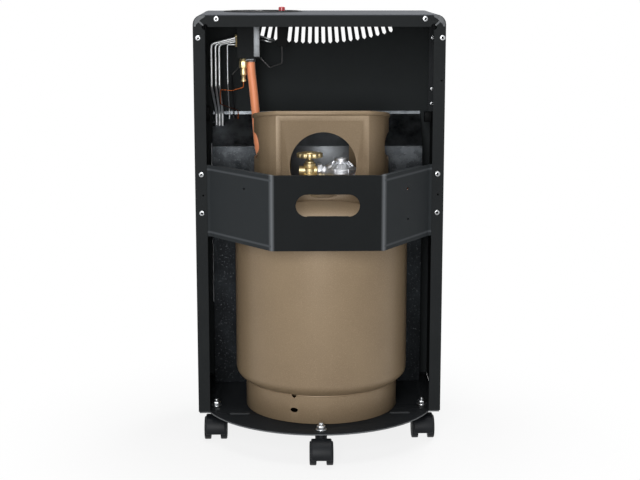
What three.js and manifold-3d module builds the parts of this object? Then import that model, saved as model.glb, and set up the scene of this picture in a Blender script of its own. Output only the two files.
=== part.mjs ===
// Portable gas cabinet heater on five casters, with its gas bottle standing in the open rear of the cabinet.
// Millimetres, +Z up, +X to the right of a person who stands behind the heater.
// Depths (Y) are counted from the rear flanges of the cabinet, positive towards the front. The last group
// moves the heater so that the middle of its footprint lies on the origin, with the floor at Z = 0.
import * as THREE from "three";
import { mergeVertices } from "three/addons/utils/BufferGeometryUtils.js";
import Module from "manifold-3d";

// General
const gap = 0.3; // between pieces that touch
const sheet = 1.2; // cabinet steel
const runningGap = 0.4; // round a turning or sliding pin

// Cabinet: an inverted U of sheet steel with flanges round the open rear
const cabinetWidth = 420;
const cabinetTop = 735;
const cabinetBottom = 53;
const wrapDepth = 232;
const wrapCornerRadius = 16;
const flangeWidth = 20;
const flangeReliefRadius = 5;
const flangeSlitWidth = 2;
const flangeSlitLength = 14;

// Front panel: a shallow tray with a burner window and a fan of vent slots
const panelReturn = 7.7;
const windowMargin = 38; // between the window and the sides of the cabinet
const windowWidth = cabinetWidth - 2 * windowMargin;
const windowBottom = 215;
const windowTop = 475;
const slotCount = 23;
const slotWidth = 6.4;
const slotPitch = 12.6;
const slotFanRise = 400;
const slotFanCentreZ = cabinetTop + slotFanRise;
const slotFanRadius = 460;
const slotTopZ = cabinetTop - 17;

// Gas bottle
const bottleX = 4;
const bottleY = 53;
const bottleRadius = 149;
const bottleWall = 3;
const bottleLowZ = 125; // where the lower dome starts
const bottleLowDome = 45;
const bottleHighZ = 388; // where the upper dome starts
const bottleHighDome = 50;
const neckRadius = 20;
const neckHeight = 8;
const neckBore = 12.3;
const footRingRadius = 132;
const footRingWall = 3;
const footDrainRadius = 4;
const footDrainX = -48.5; // from the bottle's axis
const footDrainZ = 77;

// Base plate: inside the cabinet at the front, a rounded apron at the rear
const plateThickness = 2;
const plateTop = 54;
const plateRim = 8;
const apronMargin = 73; // beyond the foot of the bottle
const apronRadius = footRingRadius + apronMargin;
const apronCentreY = 78;
const ribLength = 35;
const ribWidth = 6;
const ribHeight = 2;
const ribCentreX = 138;
const ribCentreY = -18;

// Casters
const casterX = cabinetWidth / 2 - 29;
const rearCasterY = 36;
const middleCasterY = apronCentreY - apronRadius + 22;
const frontCasterY = 195;
const wheelRadius = 20;
const wheelWidth = 11.5;
const wheelSpacing = 16.4; // between the inner faces of the twin wheels
const casterTrail = 21;
const hoodRadius = 24;
const hoodWidth = 40;
const hoodBottom = 8;
const hoodBossRadius = 10;
const hoodBossTop = 45;
const stemRadius = 5;
const stemDepth = 12; // in the hood's socket
const stemCollarRadius = 11;
const stemNutRadius = 9.8;
const stemNutHeight = 8;
const stemThreadAbove = 4;
const axleRadius = 3;

// Collar of the bottle: round, with a flat rear panel
const collarRadius = 115.5;
const collarWall = 3;
const collarFlat = 86; // from the bottle's axis to the flat panel
const collarTopRear = 575;
const collarTopSlope = 0.151;
const collarLowerEdge = 457;
const collarFeetBottom = 425;
const collarRimRadius = 4.2;
const collarMouthHalf = 52; // half of the opening towards the burner
const collarHoleRadius = 55.5;
const collarHoleZ = 488;
const collarSlotLow = 492;
const collarSlotHigh = 536;
const collarSlotLength = 92;
const collarArchFrom = -22;
const collarArchTo = 100;
const collarPanelWidth = 134;
const collarPanelTop = 562;
const collarPanelDepth = 1;

// Valve of the bottle, its handwheel and the regulator
const outletZ = 468;
const valveColumnX = -20; // from the bottle's axis
const valveColumnRadius = 11;
const valveColumnTop = 486;
const valveBlockHalf = 13;
const valveSpindleRadius = 4;
const handwheelRadius = 22.5;
const handwheelHeight = 9;
const handwheelZ = 491;
const handwheelLobes = 8;
const unionNutLength = 14;
const unionNutRadius = 13;
const regulatorRadius = 27;
const regulatorHeight = 26;
const regulatorCapRadius = 12;
const regulatorCapHeight = 9;
const regulatorTailRadius = 5;
const regulatorTailLength = 9;
const regulatorTailDrop = 20; // degrees below the level
const regulatorTailTurn = 10; // degrees towards the rear

// Rear guard band: a folded sheet that hangs on four screws and keeps the bottle in
const bandBottom = 363;
const bandTop = 485;
const bandRearY = -135;
const bandLeftX = -80.5;
const bandRightX = 100.6;
const bandWingX = cabinetWidth / 2 - 24;
const bandTabX = cabinetWidth / 2 - 4;
const bandBend = 8;
const bandLip = 10;
const bandLift = 22;
const handSlotWidth = 103;
const handSlotHeight = 36;
const handSlotX = 10;
const handSlotZ = 437;
const handSlotLip = 6;
const bandScrewX = cabinetWidth / 2 - 11;
const bandScrewLowZ = 403;
const bandScrewHighZ = 469;
const screwHeadRadius = 5;
const screwHeadHeight = 3;
const screwShankRadius = 2;
const screwCollarRadius = 4;
const screwCollarLength = 3;
const screwPlay = 0.4;

// Heat shield between the bottle and the burner
const shieldSheet = 0.8;
const shieldHalfWidth = cabinetWidth / 2 - 20;
const shieldY = 180;
const shieldBendZ = 494;
const shieldRoofEndY = 235.5;
const shieldRoofEndZ = 547;
const shieldLip = 6;
const shieldPocketGap = 4; // round the bottle

// Side rails in the upper compartment
const railY = 150;
const railWidth = 12;
const railDepth = 25;
const railSheet = 1.5;
const railLength = 160;
const railTop = cabinetTop - 15;
const railBottom = railTop - railLength;

// Burner
const burnerMargin = 13; // between the outer burners and the ends of the window, on average
const burnerPitch = (windowWidth - 2 * burnerMargin) / 3;
const plenumSpacing = 10;
const plenumWidth = burnerPitch - plenumSpacing;
const plenumInset = 37;
const plenumBottom = windowBottom + plenumInset;
const plenumTop = windowTop - plenumInset;
const plenumBackY = 209;
const plenumDepth = 18;
const plenumSheet = 1.2;
const injectorRadius = 7;
const injectorHeight = 14;
const burnerPipeY = 218;
const plaqueThickness = 12;
const plaqueProud = 6;
const reflectorSheet = 0.8;
const reflectorMargin = 6;
const reflectorLip = 10;

// Wire guard in front of the burner
const guardWire = 2.5; // radius of the three cross wires
const guardRod = 1.6; // radius of the upright wires
const guardRods = 13;
const guardRodMargin = 10;
const guardPitch = (windowWidth - 2 * guardRodMargin) / (guardRods - 1);
const guardProud = 18;
const guardHalfWidth = windowWidth / 2 + 6;
const guardOverhang = 8;

// Gas tap, its bracket and its inlet
const tapX = -118;
const knobY = 174;
const tapLeft = -136;
const tapRight = -103.4;
const tapRearY = 136;
const tapFrontY = 192;
const tapDrop = 63;
const tapBottom = cabinetTop - tapDrop;
const tapTop = tapBottom + 28;
const tapNeckRadius = 9;
const tapNeckHeight = 6;
const inletY = 150;
const inletHexRadius = 10;
const inletHexHeight = 11.7;
const bracketRearY = 122;
const bracketLeft = -141;
const bracketStrip = -101.9;
const bracketBottom = tapBottom - 16;

// Controls in the dish of the top
const dishX = -96;
const dishHalfLength = 65.5;
const dishHalfWidth = 48;
const dishRim = 4;
const dishRimHeight = 1.5;
const dishWall = 1.8;
const dishFloorZ = cabinetTop - 21;
const spindleRadius = 4;
const spindleTop = dishFloorZ + 15;
const spindleBottom = tapBottom + 12;
const knobRadius = 25;
const knobBottom = dishFloorZ + 5.5;
const knobTop = knobBottom + 17.5;
const knobTravel = 4;
const knobGripWidth = 11;
const knobSkirtHeight = 6;
const buttonX = -63;
const buttonRadius = 5.85;
const buttonTop = dishFloorZ + 29.5;
const buttonLength = 13;
const buttonTravel = 6;
const barrelRadius = 9;
const barrelTop = buttonTop - 6.5;
const barrelFlangeRadius = 12;
const barrelFlangeHeight = 2.2;
const igniterLength = 63;
const igniterBottom = barrelTop - igniterLength;
const igniterWidth = 17;

// Pipes and leads
const supplyRadius = 3;
const pilotRadius = 2;
const leadRadius = 1.5;
const pipeBend = 12;
const supplyX = [-shieldHalfWidth + 3, -shieldHalfWidth + 11, -shieldHalfWidth + 19];
const supplyTapY = [158, 168, 178];
const supplyTapZ = [tapTop - 8, tapTop - 12, tapTop - 16];
const supplyRunZ = [466, 477, 488];
const pilotX = -shieldHalfWidth + 30;
const ignitionX = pilotX + 8;
const thermocoupleX = pilotX + 16;
const pilotTapZ = tapBottom + 5;
const leadY = 229;
const pilotBurnerX = -40;
const pilotBurnerY = 231;
const pilotBurnerBottom = 224;
const pilotBurnerTop = 243;
const electrodeTipX = -60;
const thermocoupleTipX = -80;
const lowerPilotX = -shieldHalfWidth - 3;
const lowerIgnitionX = lowerPilotX + 7;
const lowerThermocoupleX = lowerPilotX + 13.5;
const pilotRunZ = 196;
const ignitionRunZ = 203;
const thermocoupleRunZ = 210;
const unionX = tapX - 13;
const bightX = pilotX - 12;
const unionY = 141;
const unionTop = tapBottom - gap;
const unionLength = 57.7;
const unionBottom = unionTop - unionLength;

// Gas hose
const hoseRadius = 7.5;
const clipWidth = 9;
const clipWall = 1.2;

// ---- Solids ----------------------------------------------------------------

const wasm = await Module();
wasm.setup();

// A closed three.js geometry as a solid that can be joined and cut.
function solid(geometry) {
  const bare = geometry.index ? geometry.toNonIndexed() : geometry.clone();
  bare.deleteAttribute("normal");
  bare.deleteAttribute("uv");
  const merged = mergeVertices(bare, 1e-3);
  const corners = merged.index.array;
  const kept = [];
  for (let i = 0; i < corners.length; i += 3) {
    const [a, b, c] = [corners[i], corners[i + 1], corners[i + 2]];
    if (a !== b && b !== c && c !== a) kept.push(a, b, c);
  }
  const made = new wasm.Manifold(
    new wasm.Mesh({
      numProp: 3,
      vertProperties: merged.attributes.position.array,
      triVerts: new Uint32Array(kept),
    }),
  );
  if (made.volume() <= 0) throw new Error("a solid is inside out");
  return made;
}

function join(first, ...others) {
  return others.reduce((whole, other) => whole.add(other), first);
}

function cut(first, ...others) {
  return others.reduce((whole, other) => whole.subtract(other), first);
}

function box(x0, x1, y0, y1, z0, z1) {
  const block = new THREE.BoxGeometry(x1 - x0, y1 - y0, z1 - z0);
  return solid(block.translate((x0 + x1) / 2, (y0 + y1) / 2, (z0 + z1) / 2));
}

function outline(points) {
  return new THREE.Shape(points.map(([a, b]) => new THREE.Vector2(a, b)));
}

// An outline in X and Y, from z0 up to z1.
function prismZ(shape, z0, z1, curveSegments = 12) {
  const block = new THREE.ExtrudeGeometry(shape, { depth: z1 - z0, bevelEnabled: false, curveSegments });
  return solid(block.translate(0, 0, z0));
}

// An outline in X and Z, from y0 forward to y1.
function prismY(shape, y0, y1, curveSegments = 12) {
  const block = new THREE.ExtrudeGeometry(shape, { depth: y1 - y0, bevelEnabled: false, curveSegments });
  return solid(block.rotateX(Math.PI / 2).translate(0, y1, 0));
}

// An outline in Y and Z, from x0 to x1.
function prismX(shape, x0, x1, curveSegments = 12) {
  const block = new THREE.ExtrudeGeometry(shape, { depth: x1 - x0, bevelEnabled: false, curveSegments });
  const turn = new THREE.Matrix4().makeBasis(
    new THREE.Vector3(0, 1, 0),
    new THREE.Vector3(0, 0, 1),
    new THREE.Vector3(1, 0, 0),
  );
  return solid(block.applyMatrix4(turn).translate(x0, 0, 0));
}

function rodZ(radius, x, y, z0, z1, sides = 24) {
  const rod = new THREE.CylinderGeometry(radius, radius, z1 - z0, sides).rotateX(Math.PI / 2);
  return solid(rod.translate(x, y, (z0 + z1) / 2));
}

function rodY(radius, x, z, y0, y1, sides = 24) {
  const rod = new THREE.CylinderGeometry(radius, radius, y1 - y0, sides);
  return solid(rod.translate(x, (y0 + y1) / 2, z));
}

function rodX(radius, y, z, x0, x1, sides = 24) {
  const rod = new THREE.CylinderGeometry(radius, radius, x1 - x0, sides).rotateZ(Math.PI / 2);
  return solid(rod.translate((x0 + x1) / 2, y, z));
}

// A profile of [radius, height] pairs, anticlockwise, turned round an upright axis.
function turned(profile, x, y, sides = 36) {
  const points = profile.map(([radius, height]) => new THREE.Vector2(radius, height));
  const round = new THREE.LatheGeometry(points, sides).rotateX(Math.PI / 2);
  return solid(round.translate(x, y, 0));
}

// The same round an axis along X.
function turnedX(profile, y, z, x, sides = 16) {
  const points = profile.map(([radius, along]) => new THREE.Vector2(radius, along));
  const round = new THREE.LatheGeometry(points, sides).rotateZ(-Math.PI / 2);
  return solid(round.translate(x, y, z));
}

// A closed turned profile: back to its first point.
function closed(profile) {
  return [...profile, profile[0]];
}

function stadium(centreX, centreY, width, height) {
  const radius = height / 2;
  const reach = width / 2 - radius;
  const shape = new THREE.Shape();
  shape.absarc(centreX + reach, centreY, radius, -Math.PI / 2, Math.PI / 2, false);
  shape.absarc(centreX - reach, centreY, radius, Math.PI / 2, (3 * Math.PI) / 2, false);
  return shape;
}

function ellipse(centreX, centreY, halfLength, halfWidth) {
  return new THREE.Shape().absellipse(centreX, centreY, halfLength, halfWidth, 0, 2 * Math.PI, false);
}

// ---- Bent sheet ------------------------------------------------------------

// A polyline in the plane with its corners rounded, as [point, unit normal to the left] pairs.
function roundedLine(points, radius, steps) {
  const line = points.map(([a, b]) => new THREE.Vector2(a, b));
  const leftOf = (v) => new THREE.Vector2(-v.y, v.x);
  const way = (i) => line[i + 1].clone().sub(line[i]).normalize();
  const found = [[line[0], leftOf(way(0))]];
  for (let i = 1; i < line.length - 1; i++) {
    const before = way(i - 1);
    const after = way(i);
    const turn = Math.atan2(before.cross(after), before.dot(after));
    const side = Math.sign(turn);
    const setback = radius * Math.tan(Math.abs(turn) / 2);
    const start = line[i].clone().addScaledVector(before, -setback);
    const centre = start.clone().addScaledVector(leftOf(before), side * radius);
    for (let k = 0; k <= steps; k++) {
      const normal = leftOf(before).rotateAround(new THREE.Vector2(), (turn * k) / steps);
      found.push([centre.clone().addScaledVector(normal, -side * radius), normal]);
    }
  }
  found.push([line.at(-1), leftOf(way(line.length - 2))]);
  return found;
}

// The section of a sheet that follows the line, its thickness laid off to the left.
function bentStrip(points, radius, thickness, steps = 5) {
  const line = roundedLine(points, radius, steps);
  const near = line.map(([point]) => point);
  const far = line.map(([point, normal]) => point.clone().addScaledVector(normal, thickness));
  return new THREE.Shape([...near, ...far.reverse()]);
}

// The line moved to its left, with sharp corners.
function offsetLine(points, distance) {
  const line = points.map(([a, b]) => new THREE.Vector2(a, b));
  const ways = line.slice(1).map((point, i) => point.clone().sub(line[i]).normalize());
  return line.map((point, i) => {
    const before = ways[Math.max(i - 1, 0)];
    const after = ways[Math.min(i, ways.length - 1)];
    const mitre = before.clone().add(after).normalize();
    const left = new THREE.Vector2(-mitre.y, mitre.x);
    return point.clone().addScaledVector(left, distance / mitre.dot(after));
  });
}

// ---- Pipes -----------------------------------------------------------------

// A path whose steps follow its own points, so that bends get more steps than straights.
class Route extends THREE.Curve {
  constructor(points) {
    super();
    this.points = points;
  }

  getPoint(t) {
    const along = Math.min(Math.max(t, 0), 1) * (this.points.length - 1);
    const i = Math.min(Math.floor(along), this.points.length - 2);
    return this.points[i].clone().lerp(this.points[i + 1], along - i);
  }

  getPointAt(t) {
    return this.getPoint(t);
  }

  getTangentAt(t) {
    return this.getTangent(t);
  }
}

function tube(points, radius, sides) {
  const section = outline(
    Array.from({ length: sides }, (_, i) => {
      const angle = (2 * Math.PI * (i + 0.5)) / sides;
      return [radius * Math.cos(angle), radius * Math.sin(angle)];
    }),
  );
  const extrudePath = new Route(points);
  return solid(new THREE.ExtrudeGeometry(section, { steps: points.length - 1, extrudePath, bevelEnabled: false }));
}

// A bent pipe: straight runs with an arc of the bend radius at each corner.
function pipe(corners, radius, bend = pipeBend, sides = 8, steps = 3) {
  const line = corners.map((corner) => new THREE.Vector3(...corner));
  const points = [line[0]];
  for (let i = 1; i < line.length - 1; i++) {
    const before = line[i].clone().sub(line[i - 1]).normalize();
    const after = line[i + 1].clone().sub(line[i]).normalize();
    const turn = before.angleTo(after);
    const setback = bend * Math.tan(turn / 2);
    const start = line[i].clone().addScaledVector(before, -setback);
    const inward = after.clone().addScaledVector(before, -Math.cos(turn)).normalize();
    for (let k = 0; k <= steps; k++) {
      const angle = (turn * k) / steps;
      const point = start.clone().addScaledVector(before, bend * Math.sin(angle));
      points.push(point.addScaledVector(inward, bend * (1 - Math.cos(angle))));
    }
  }
  points.push(line.at(-1));
  return tube(points, radius, sides);
}

// A flexible line through its points, with even steps.
function flexible(points, radius, sides, step) {
  const curve = new THREE.CatmullRomCurve3(points.map((point) => new THREE.Vector3(...point)), false, "centripetal");
  return tube(curve.getSpacedPoints(Math.ceil(curve.getLength() / step)), radius, sides);
}

// ---- Finishes --------------------------------------------------------------

function finish(color, roughness, metalness) {
  return new THREE.MeshStandardMaterial({ color, roughness, metalness });
}

const blackPaint = finish(0x222426, 0.5, 0);
const galvanised = finish(0x8d9092, 0.4, 1);
const zincPlate = finish(0xc3c5c6, 0.3, 1);
const polishedSteel = finish(0xd5d7d8, 0.15, 1);
const brass = finish(0xc2a160, 0.3, 1);
const aluminiumPipe = finish(0xc9cccd, 0.35, 1);
const dieCast = finish(0xb4b7b9, 0.45, 1);
const bottlePaint = finish(0x877556, 0.45, 0.2);
const ceramic = finish(0xd9cdb8, 0.9, 0);
const blackPlastic = finish(0x161718, 0.55, 0);
const redPlastic = finish(0xb3202a, 0.4, 0);
const hoseRubber = finish(0xf07a4c, 0.6, 0);
const copper = finish(0xb06a3c, 0.35, 1);

const heater = new THREE.Group();

// Shows a solid as a named mesh of the heater.
function show(name, made, material) {
  const { numProp, vertProperties, triVerts } = made.getMesh();
  const geometry = new THREE.BufferGeometry();
  geometry.setAttribute("position", new THREE.BufferAttribute(new Float32Array(vertProperties), numProp));
  geometry.setIndex(new THREE.BufferAttribute(new Uint32Array(triVerts), 1));
  geometry.computeVertexNormals();
  const mesh = new THREE.Mesh(geometry, material);
  mesh.name = name;
  heater.add(mesh);
}

// ---- Cabinet ---------------------------------------------------------------

const halfWidth = cabinetWidth / 2;
const innerHalfWidth = halfWidth - sheet;
const flangeEdgeX = halfWidth - flangeWidth;
const flangeEdgeZ = cabinetTop - flangeWidth;
const panelBack = wrapDepth + gap;
const panelFront = panelBack + panelReturn;
const panelInner = panelFront - sheet;

// The inverted U of the cabinet, from its left foot to its right foot.
const wrapLine = [
  [-halfWidth, cabinetBottom],
  [-halfWidth, cabinetTop],
  [halfWidth, cabinetTop],
  [halfWidth, cabinetBottom],
];

function bandScrewPlaces() {
  return [-1, 1].flatMap((side) => [bandScrewLowZ, bandScrewHighZ].map((z) => [side * bandScrewX, z]));
}

// A rear flange, cut at each top corner so that the sheet can be bent.
function rearFlanges() {
  const outer = roundedLine(wrapLine, wrapCornerRadius, 5).map(([point]) => [point.x, point.y]);
  const inner = [
    [flangeEdgeX, cabinetBottom],
    [flangeEdgeX, flangeEdgeZ],
    [-flangeEdgeX, flangeEdgeZ],
    [-flangeEdgeX, cabinetBottom],
  ];
  let flanges = prismY(outline([...outer, ...inner]), 0, sheet);
  for (const side of [-1, 1]) {
    const slit = new THREE.BoxGeometry(flangeSlitLength, 3 * sheet, flangeSlitWidth);
    slit.translate(flangeSlitLength / 2, 0, 0).rotateY(side > 0 ? -Math.PI / 4 : (-3 * Math.PI) / 4);
    const relief = rodY(flangeReliefRadius, side * flangeEdgeX, flangeEdgeZ, -sheet, 2 * sheet, 16);
    flanges = cut(flanges, relief, solid(slit.translate(side * flangeEdgeX, 0, flangeEdgeZ)));
  }
  const holes = bandScrewPlaces().map(([x, z]) => rodY(screwShankRadius + screwPlay, x, z, -sheet, 2 * sheet, 12));
  return cut(flanges, ...holes);
}

function cabinetWrap() {
  const walls = prismY(bentStrip(wrapLine, wrapCornerRadius, -sheet), 0, wrapDepth);
  const dishHole = prismZ(
    ellipse(dishX, knobY, dishHalfLength + runningGap, dishHalfWidth + runningGap),
    cabinetTop - 2 * sheet,
    cabinetTop + sheet,
    12,
  );
  return cut(join(walls, rearFlanges()), dishHole);
}

// One vent slot, along a ray of the fan.
function ventSlot(angle) {
  const low = slotFanRadius;
  const high = (slotFanCentreZ - slotTopZ) / Math.cos(angle);
  const radius = slotWidth / 2;
  const place = (across, out) => [
    out * Math.sin(angle) + across * Math.cos(angle),
    slotFanCentreZ - out * Math.cos(angle) + across * Math.sin(angle),
  ];
  const end = (out, start) =>
    [0, 1, 2].map((k) => {
      const turn = start + (Math.PI * k) / 2;
      return place(radius * Math.cos(turn), out + radius * Math.sin(turn));
    });
  return outline([...end(low - radius, 0), ...end(high + radius, Math.PI)]);
}

function panelOutline(inset) {
  const x = halfWidth - inset;
  const shape = new THREE.Shape();
  shape.moveTo(-x, cabinetBottom + inset);
  shape.lineTo(x, cabinetBottom + inset);
  shape.absarc(halfWidth - wrapCornerRadius, cabinetTop - wrapCornerRadius, wrapCornerRadius - inset, 0, Math.PI / 2);
  shape.absarc(-halfWidth + wrapCornerRadius, cabinetTop - wrapCornerRadius, wrapCornerRadius - inset, Math.PI / 2, Math.PI);
  shape.closePath();
  return shape;
}

function frontPanel() {
  const slots = Array.from({ length: slotCount }, (_, i) => {
    const angle = ((i - (slotCount - 1) / 2) * slotPitch) / slotFanRadius;
    return prismY(ventSlot(angle), panelInner - sheet, panelFront + sheet);
  });
  const tray = cut(
    prismY(panelOutline(0), panelBack, panelInner + sheet / 2, 5),
    prismY(panelOutline(sheet), panelBack - sheet, panelInner + sheet, 5),
  );
  const window = box(-windowWidth / 2, windowWidth / 2, panelBack, panelFront + sheet, windowBottom, windowTop);
  return cut(join(prismY(panelOutline(0), panelInner, panelFront, 5), tray), window, ...slots);
}

function baseOutline(inset) {
  const side = innerHalfWidth - gap - inset;
  const rear = sheet + 2 * gap + inset;
  const front = panelBack - gap - inset;
  const radius = apronRadius - inset;
  const meetX = Math.sqrt(radius ** 2 - (apronCentreY - rear) ** 2);
  const angle = Math.atan2(rear - apronCentreY, meetX);
  const shape = new THREE.Shape();
  shape.moveTo(side, rear);
  shape.lineTo(side, front);
  shape.lineTo(-side, front);
  shape.lineTo(-side, rear);
  shape.absarc(0, apronCentreY, radius, -Math.PI - angle, angle, false);
  shape.closePath();
  return shape;
}

const casterPlaces = [
  [-casterX, rearCasterY],
  [casterX, rearCasterY],
  [0, middleCasterY],
  [-casterX, frontCasterY],
  [casterX, frontCasterY],
];

function basePlate() {
  const bottom = plateTop - plateRim;
  let plate = cut(
    prismZ(baseOutline(0), bottom, plateTop, 16),
    prismZ(baseOutline(plateThickness), bottom - 1, plateTop - plateThickness, 16),
  );
  for (const side of [-1, 1]) {
    const rib = stadium(side * ribCentreX, ribCentreY, ribLength, ribWidth);
    plate = join(plate, prismZ(rib, plateTop - plateThickness / 2, plateTop + ribHeight, 4));
  }
  const holes = casterPlaces.map(([x, y]) => rodZ(stemRadius + runningGap, x, y, bottom, plateTop + 1, 8));
  return cut(plate, ...holes);
}

show("cabinet_wrap", cabinetWrap(), blackPaint);
show("front_panel", frontPanel(), blackPaint);
show("base_plate", basePlate(), blackPaint);

// An upright L strip on each side wall: one leg on the wall, the other across the rear.
function sideRail(side) {
  const wallX = innerHalfWidth - gap;
  const section = [
    [side * (wallX - railWidth), railY],
    [side * wallX, railY],
    [side * wallX, railY + railDepth],
    [side * (wallX - railSheet), railY + railDepth],
    [side * (wallX - railSheet), railY + railSheet],
    [side * (wallX - railWidth), railY + railSheet],
  ];
  return prismZ(outline(section), railBottom, railTop);
}

show("left_side_rail", sideRail(-1), blackPaint);
show("right_side_rail", sideRail(1), blackPaint);

// ---- Casters ---------------------------------------------------------------

function casterStem(x, y) {
  const collarBottom = hoodBossTop + gap;
  const underPlate = plateTop - plateThickness - gap;
  const nutBottom = plateTop + gap;
  const nutTop = nutBottom + stemNutHeight;
  return join(
    rodZ(stemRadius, x, y, hoodBossTop - stemDepth, nutTop + stemThreadAbove, 8),
    rodZ(stemCollarRadius, x, y, collarBottom, underPlate, 12),
    rodZ(stemNutRadius, x, y, nutBottom, nutTop, 6),
  );
}

function casterHood(x, y) {
  const axleY = y - casterTrail;
  const half = hoodWidth / 2;
  const lowAngle = Math.asin((hoodBottom - wheelRadius) / hoodRadius);
  const profile = new THREE.Shape().absarc(axleY, wheelRadius, hoodRadius, lowAngle, Math.PI - lowAngle, false);
  const wheelRoom = wheelRadius + 4 * runningGap;
  const inner = wheelSpacing / 2 - 2 * runningGap;
  const boss = rodZ(hoodBossRadius, x, y, wheelRadius + hoodBossRadius, hoodBossTop, 10);
  const socket = rodZ(stemRadius + runningGap, x, y, hoodBossTop - stemDepth - gap, hoodBossTop + 1, 8);
  return cut(
    join(prismX(profile, x - half, x + half, 6), boss),
    rodX(wheelRoom, axleY, wheelRadius, x + inner, x + half + 1, 16),
    rodX(wheelRoom, axleY, wheelRadius, x - half - 1, x - inner, 16),
    rodX(axleRadius + runningGap, axleY, wheelRadius, x - half, x + half, 8),
    socket,
  );
}

// Both wheels of a caster on their axle.
function casterWheels(x, y) {
  const inside = wheelSpacing / 2;
  const outside = inside + wheelWidth;
  const edge = 1.5;
  const half = [
    [axleRadius, inside],
    [wheelRadius - edge, inside],
    [wheelRadius, inside + edge],
    [wheelRadius, outside - edge],
    [wheelRadius - edge, outside],
    [0, outside],
  ];
  const other = half.map(([radius, along]) => [radius, -along]).reverse();
  return turnedX([...other, ...half], y - casterTrail, wheelRadius, x);
}

casterPlaces.forEach(([x, y], i) => {
  show(`caster_stem_${i + 1}`, casterStem(x, y), zincPlate);
  show(`caster_hood_${i + 1}`, casterHood(x, y), blackPlastic);
  show(`caster_wheels_${i + 1}`, casterWheels(x, y), blackPlastic);
});

// ---- Gas bottle ------------------------------------------------------------

// Height of the underside of the bottle at a distance from its axis.
function underside(radius) {
  return bottleLowZ - bottleLowDome * Math.sqrt(1 - (radius / bottleRadius) ** 2);
}

// The outline of the bottle's body without its neck, moved inwards by the inset, from bottom to top.
function bottleProfile(inset, steps = 7) {
  const reach = bottleRadius - inset;
  const arc = Array.from({ length: steps + 1 }, (_, i) => (Math.PI / 2) * (i / steps));
  const low = arc.map((a) => [reach * Math.sin(a), bottleLowZ - (bottleLowDome - inset) * Math.cos(a)]);
  const high = arc.map((a) => [reach * Math.cos(a), bottleHighZ + (bottleHighDome - inset) * Math.sin(a)]);
  low[0][0] = 0;
  high[steps][0] = 0;
  return [...low, ...high];
}

const domeTop = bottleHighZ + bottleHighDome;
const neckTop = domeTop + neckHeight;

function cylinderShell() {
  const neck = rodZ(neckRadius, bottleX, bottleY, domeTop - 2 * bottleWall, neckTop, 16);
  return cut(
    join(turned(bottleProfile(0, 6), bottleX, bottleY), neck),
    turned(bottleProfile(bottleWall, 3), bottleX, bottleY, 28),
    rodZ(neckBore, bottleX, bottleY, domeTop - 3 * bottleWall, neckTop + 1, 16),
  );
}

function footRing() {
  const inner = footRingRadius - footRingWall;
  const low = plateTop + gap;
  const high = underside(inner) - 2 * gap;
  const ring = turned(
    closed([
      [inner, low],
      [footRingRadius, low],
      [footRingRadius, high],
      [inner, high],
    ]),
    bottleX,
    bottleY,
  );
  const drain = rodY(footDrainRadius, bottleX + footDrainX, footDrainZ, bottleY - footRingRadius - 1, bottleY, 12);
  return cut(ring, drain);
}

// The collar seen from above: round, flat at the rear, open at the mouth. Inset 0 is its outer face.
function collarPath(inset) {
  const radius = collarRadius - inset;
  const flat = collarFlat - inset;
  const mouthAngle = Math.acos(collarMouthHalf / radius);
  const flatAngle = -Math.asin(flat / radius);
  const steps = 14;
  const right = Array.from({ length: steps + 1 }, (_, i) => {
    const angle = mouthAngle + ((flatAngle - mouthAngle) * i) / steps;
    return [bottleX + radius * Math.cos(angle), bottleY + radius * Math.sin(angle)];
  });
  const left = right.map(([x, y]) => [2 * bottleX - x, y]).reverse();
  return [...right, ...left];
}

function collarTopZ(y) {
  return collarTopRear - collarTopSlope * (y - (bottleY - collarFlat));
}

function collarRim() {
  const middle = collarWall / 2;
  return tube(
    collarPath(middle).map(([x, y]) => new THREE.Vector3(x, y, collarTopZ(y))),
    collarRimRadius,
    8,
  );
}

function cylinderCollar() {
  const rearY = bottleY - collarFlat;
  const frontY = bottleY + collarRadius;
  const high = collarTopRear + collarRimRadius;
  const ring = outline([...collarPath(0), ...collarPath(collarWall).reverse()]);
  const overTop = outline([
    [rearY - 9, collarTopZ(rearY - 9)],
    [frontY + 9, collarTopZ(frontY + 9)],
    [frontY + 9, high + 9],
    [rearY - 9, high + 9],
  ]);
  const wall = cut(
    prismZ(ring, collarFeetBottom, high),
    prismX(overTop, bottleX - collarRadius - 9, bottleX + collarRadius + 9),
    turned(bottleProfile(-gap, 6), bottleX, bottleY),
  );
  const slotZ = (collarSlotLow + collarSlotHigh) / 2;
  const slot = stadium(bottleY, slotZ, collarSlotLength, collarSlotHigh - collarSlotLow);
  const reach = collarRadius + 9;
  const arch = box(bottleX - reach, bottleX + reach, collarArchFrom, collarArchTo, collarFeetBottom - 9, collarLowerEdge);
  const backArch = box(bottleX - collarRadius / 2, bottleX + collarRadius / 2, collarArchTo, frontY, 0, collarLowerEdge);
  const panel = box(
    bottleX - collarPanelWidth / 2,
    bottleX + collarPanelWidth / 2,
    rearY - 9,
    rearY + collarPanelDepth,
    collarFeetBottom - 9,
    collarPanelTop,
  );
  return cut(
    join(wall, collarRim()),
    rodY(collarHoleRadius, bottleX + 1, collarHoleZ, rearY - 9, bottleY - collarFlat / 2, 32),
    prismX(slot, bottleX - reach, bottleX + reach, 6),
    arch,
    backArch,
    panel,
  );
}

const columnX = bottleX + valveColumnX;
const outletX = columnX + valveBlockHalf;

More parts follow.
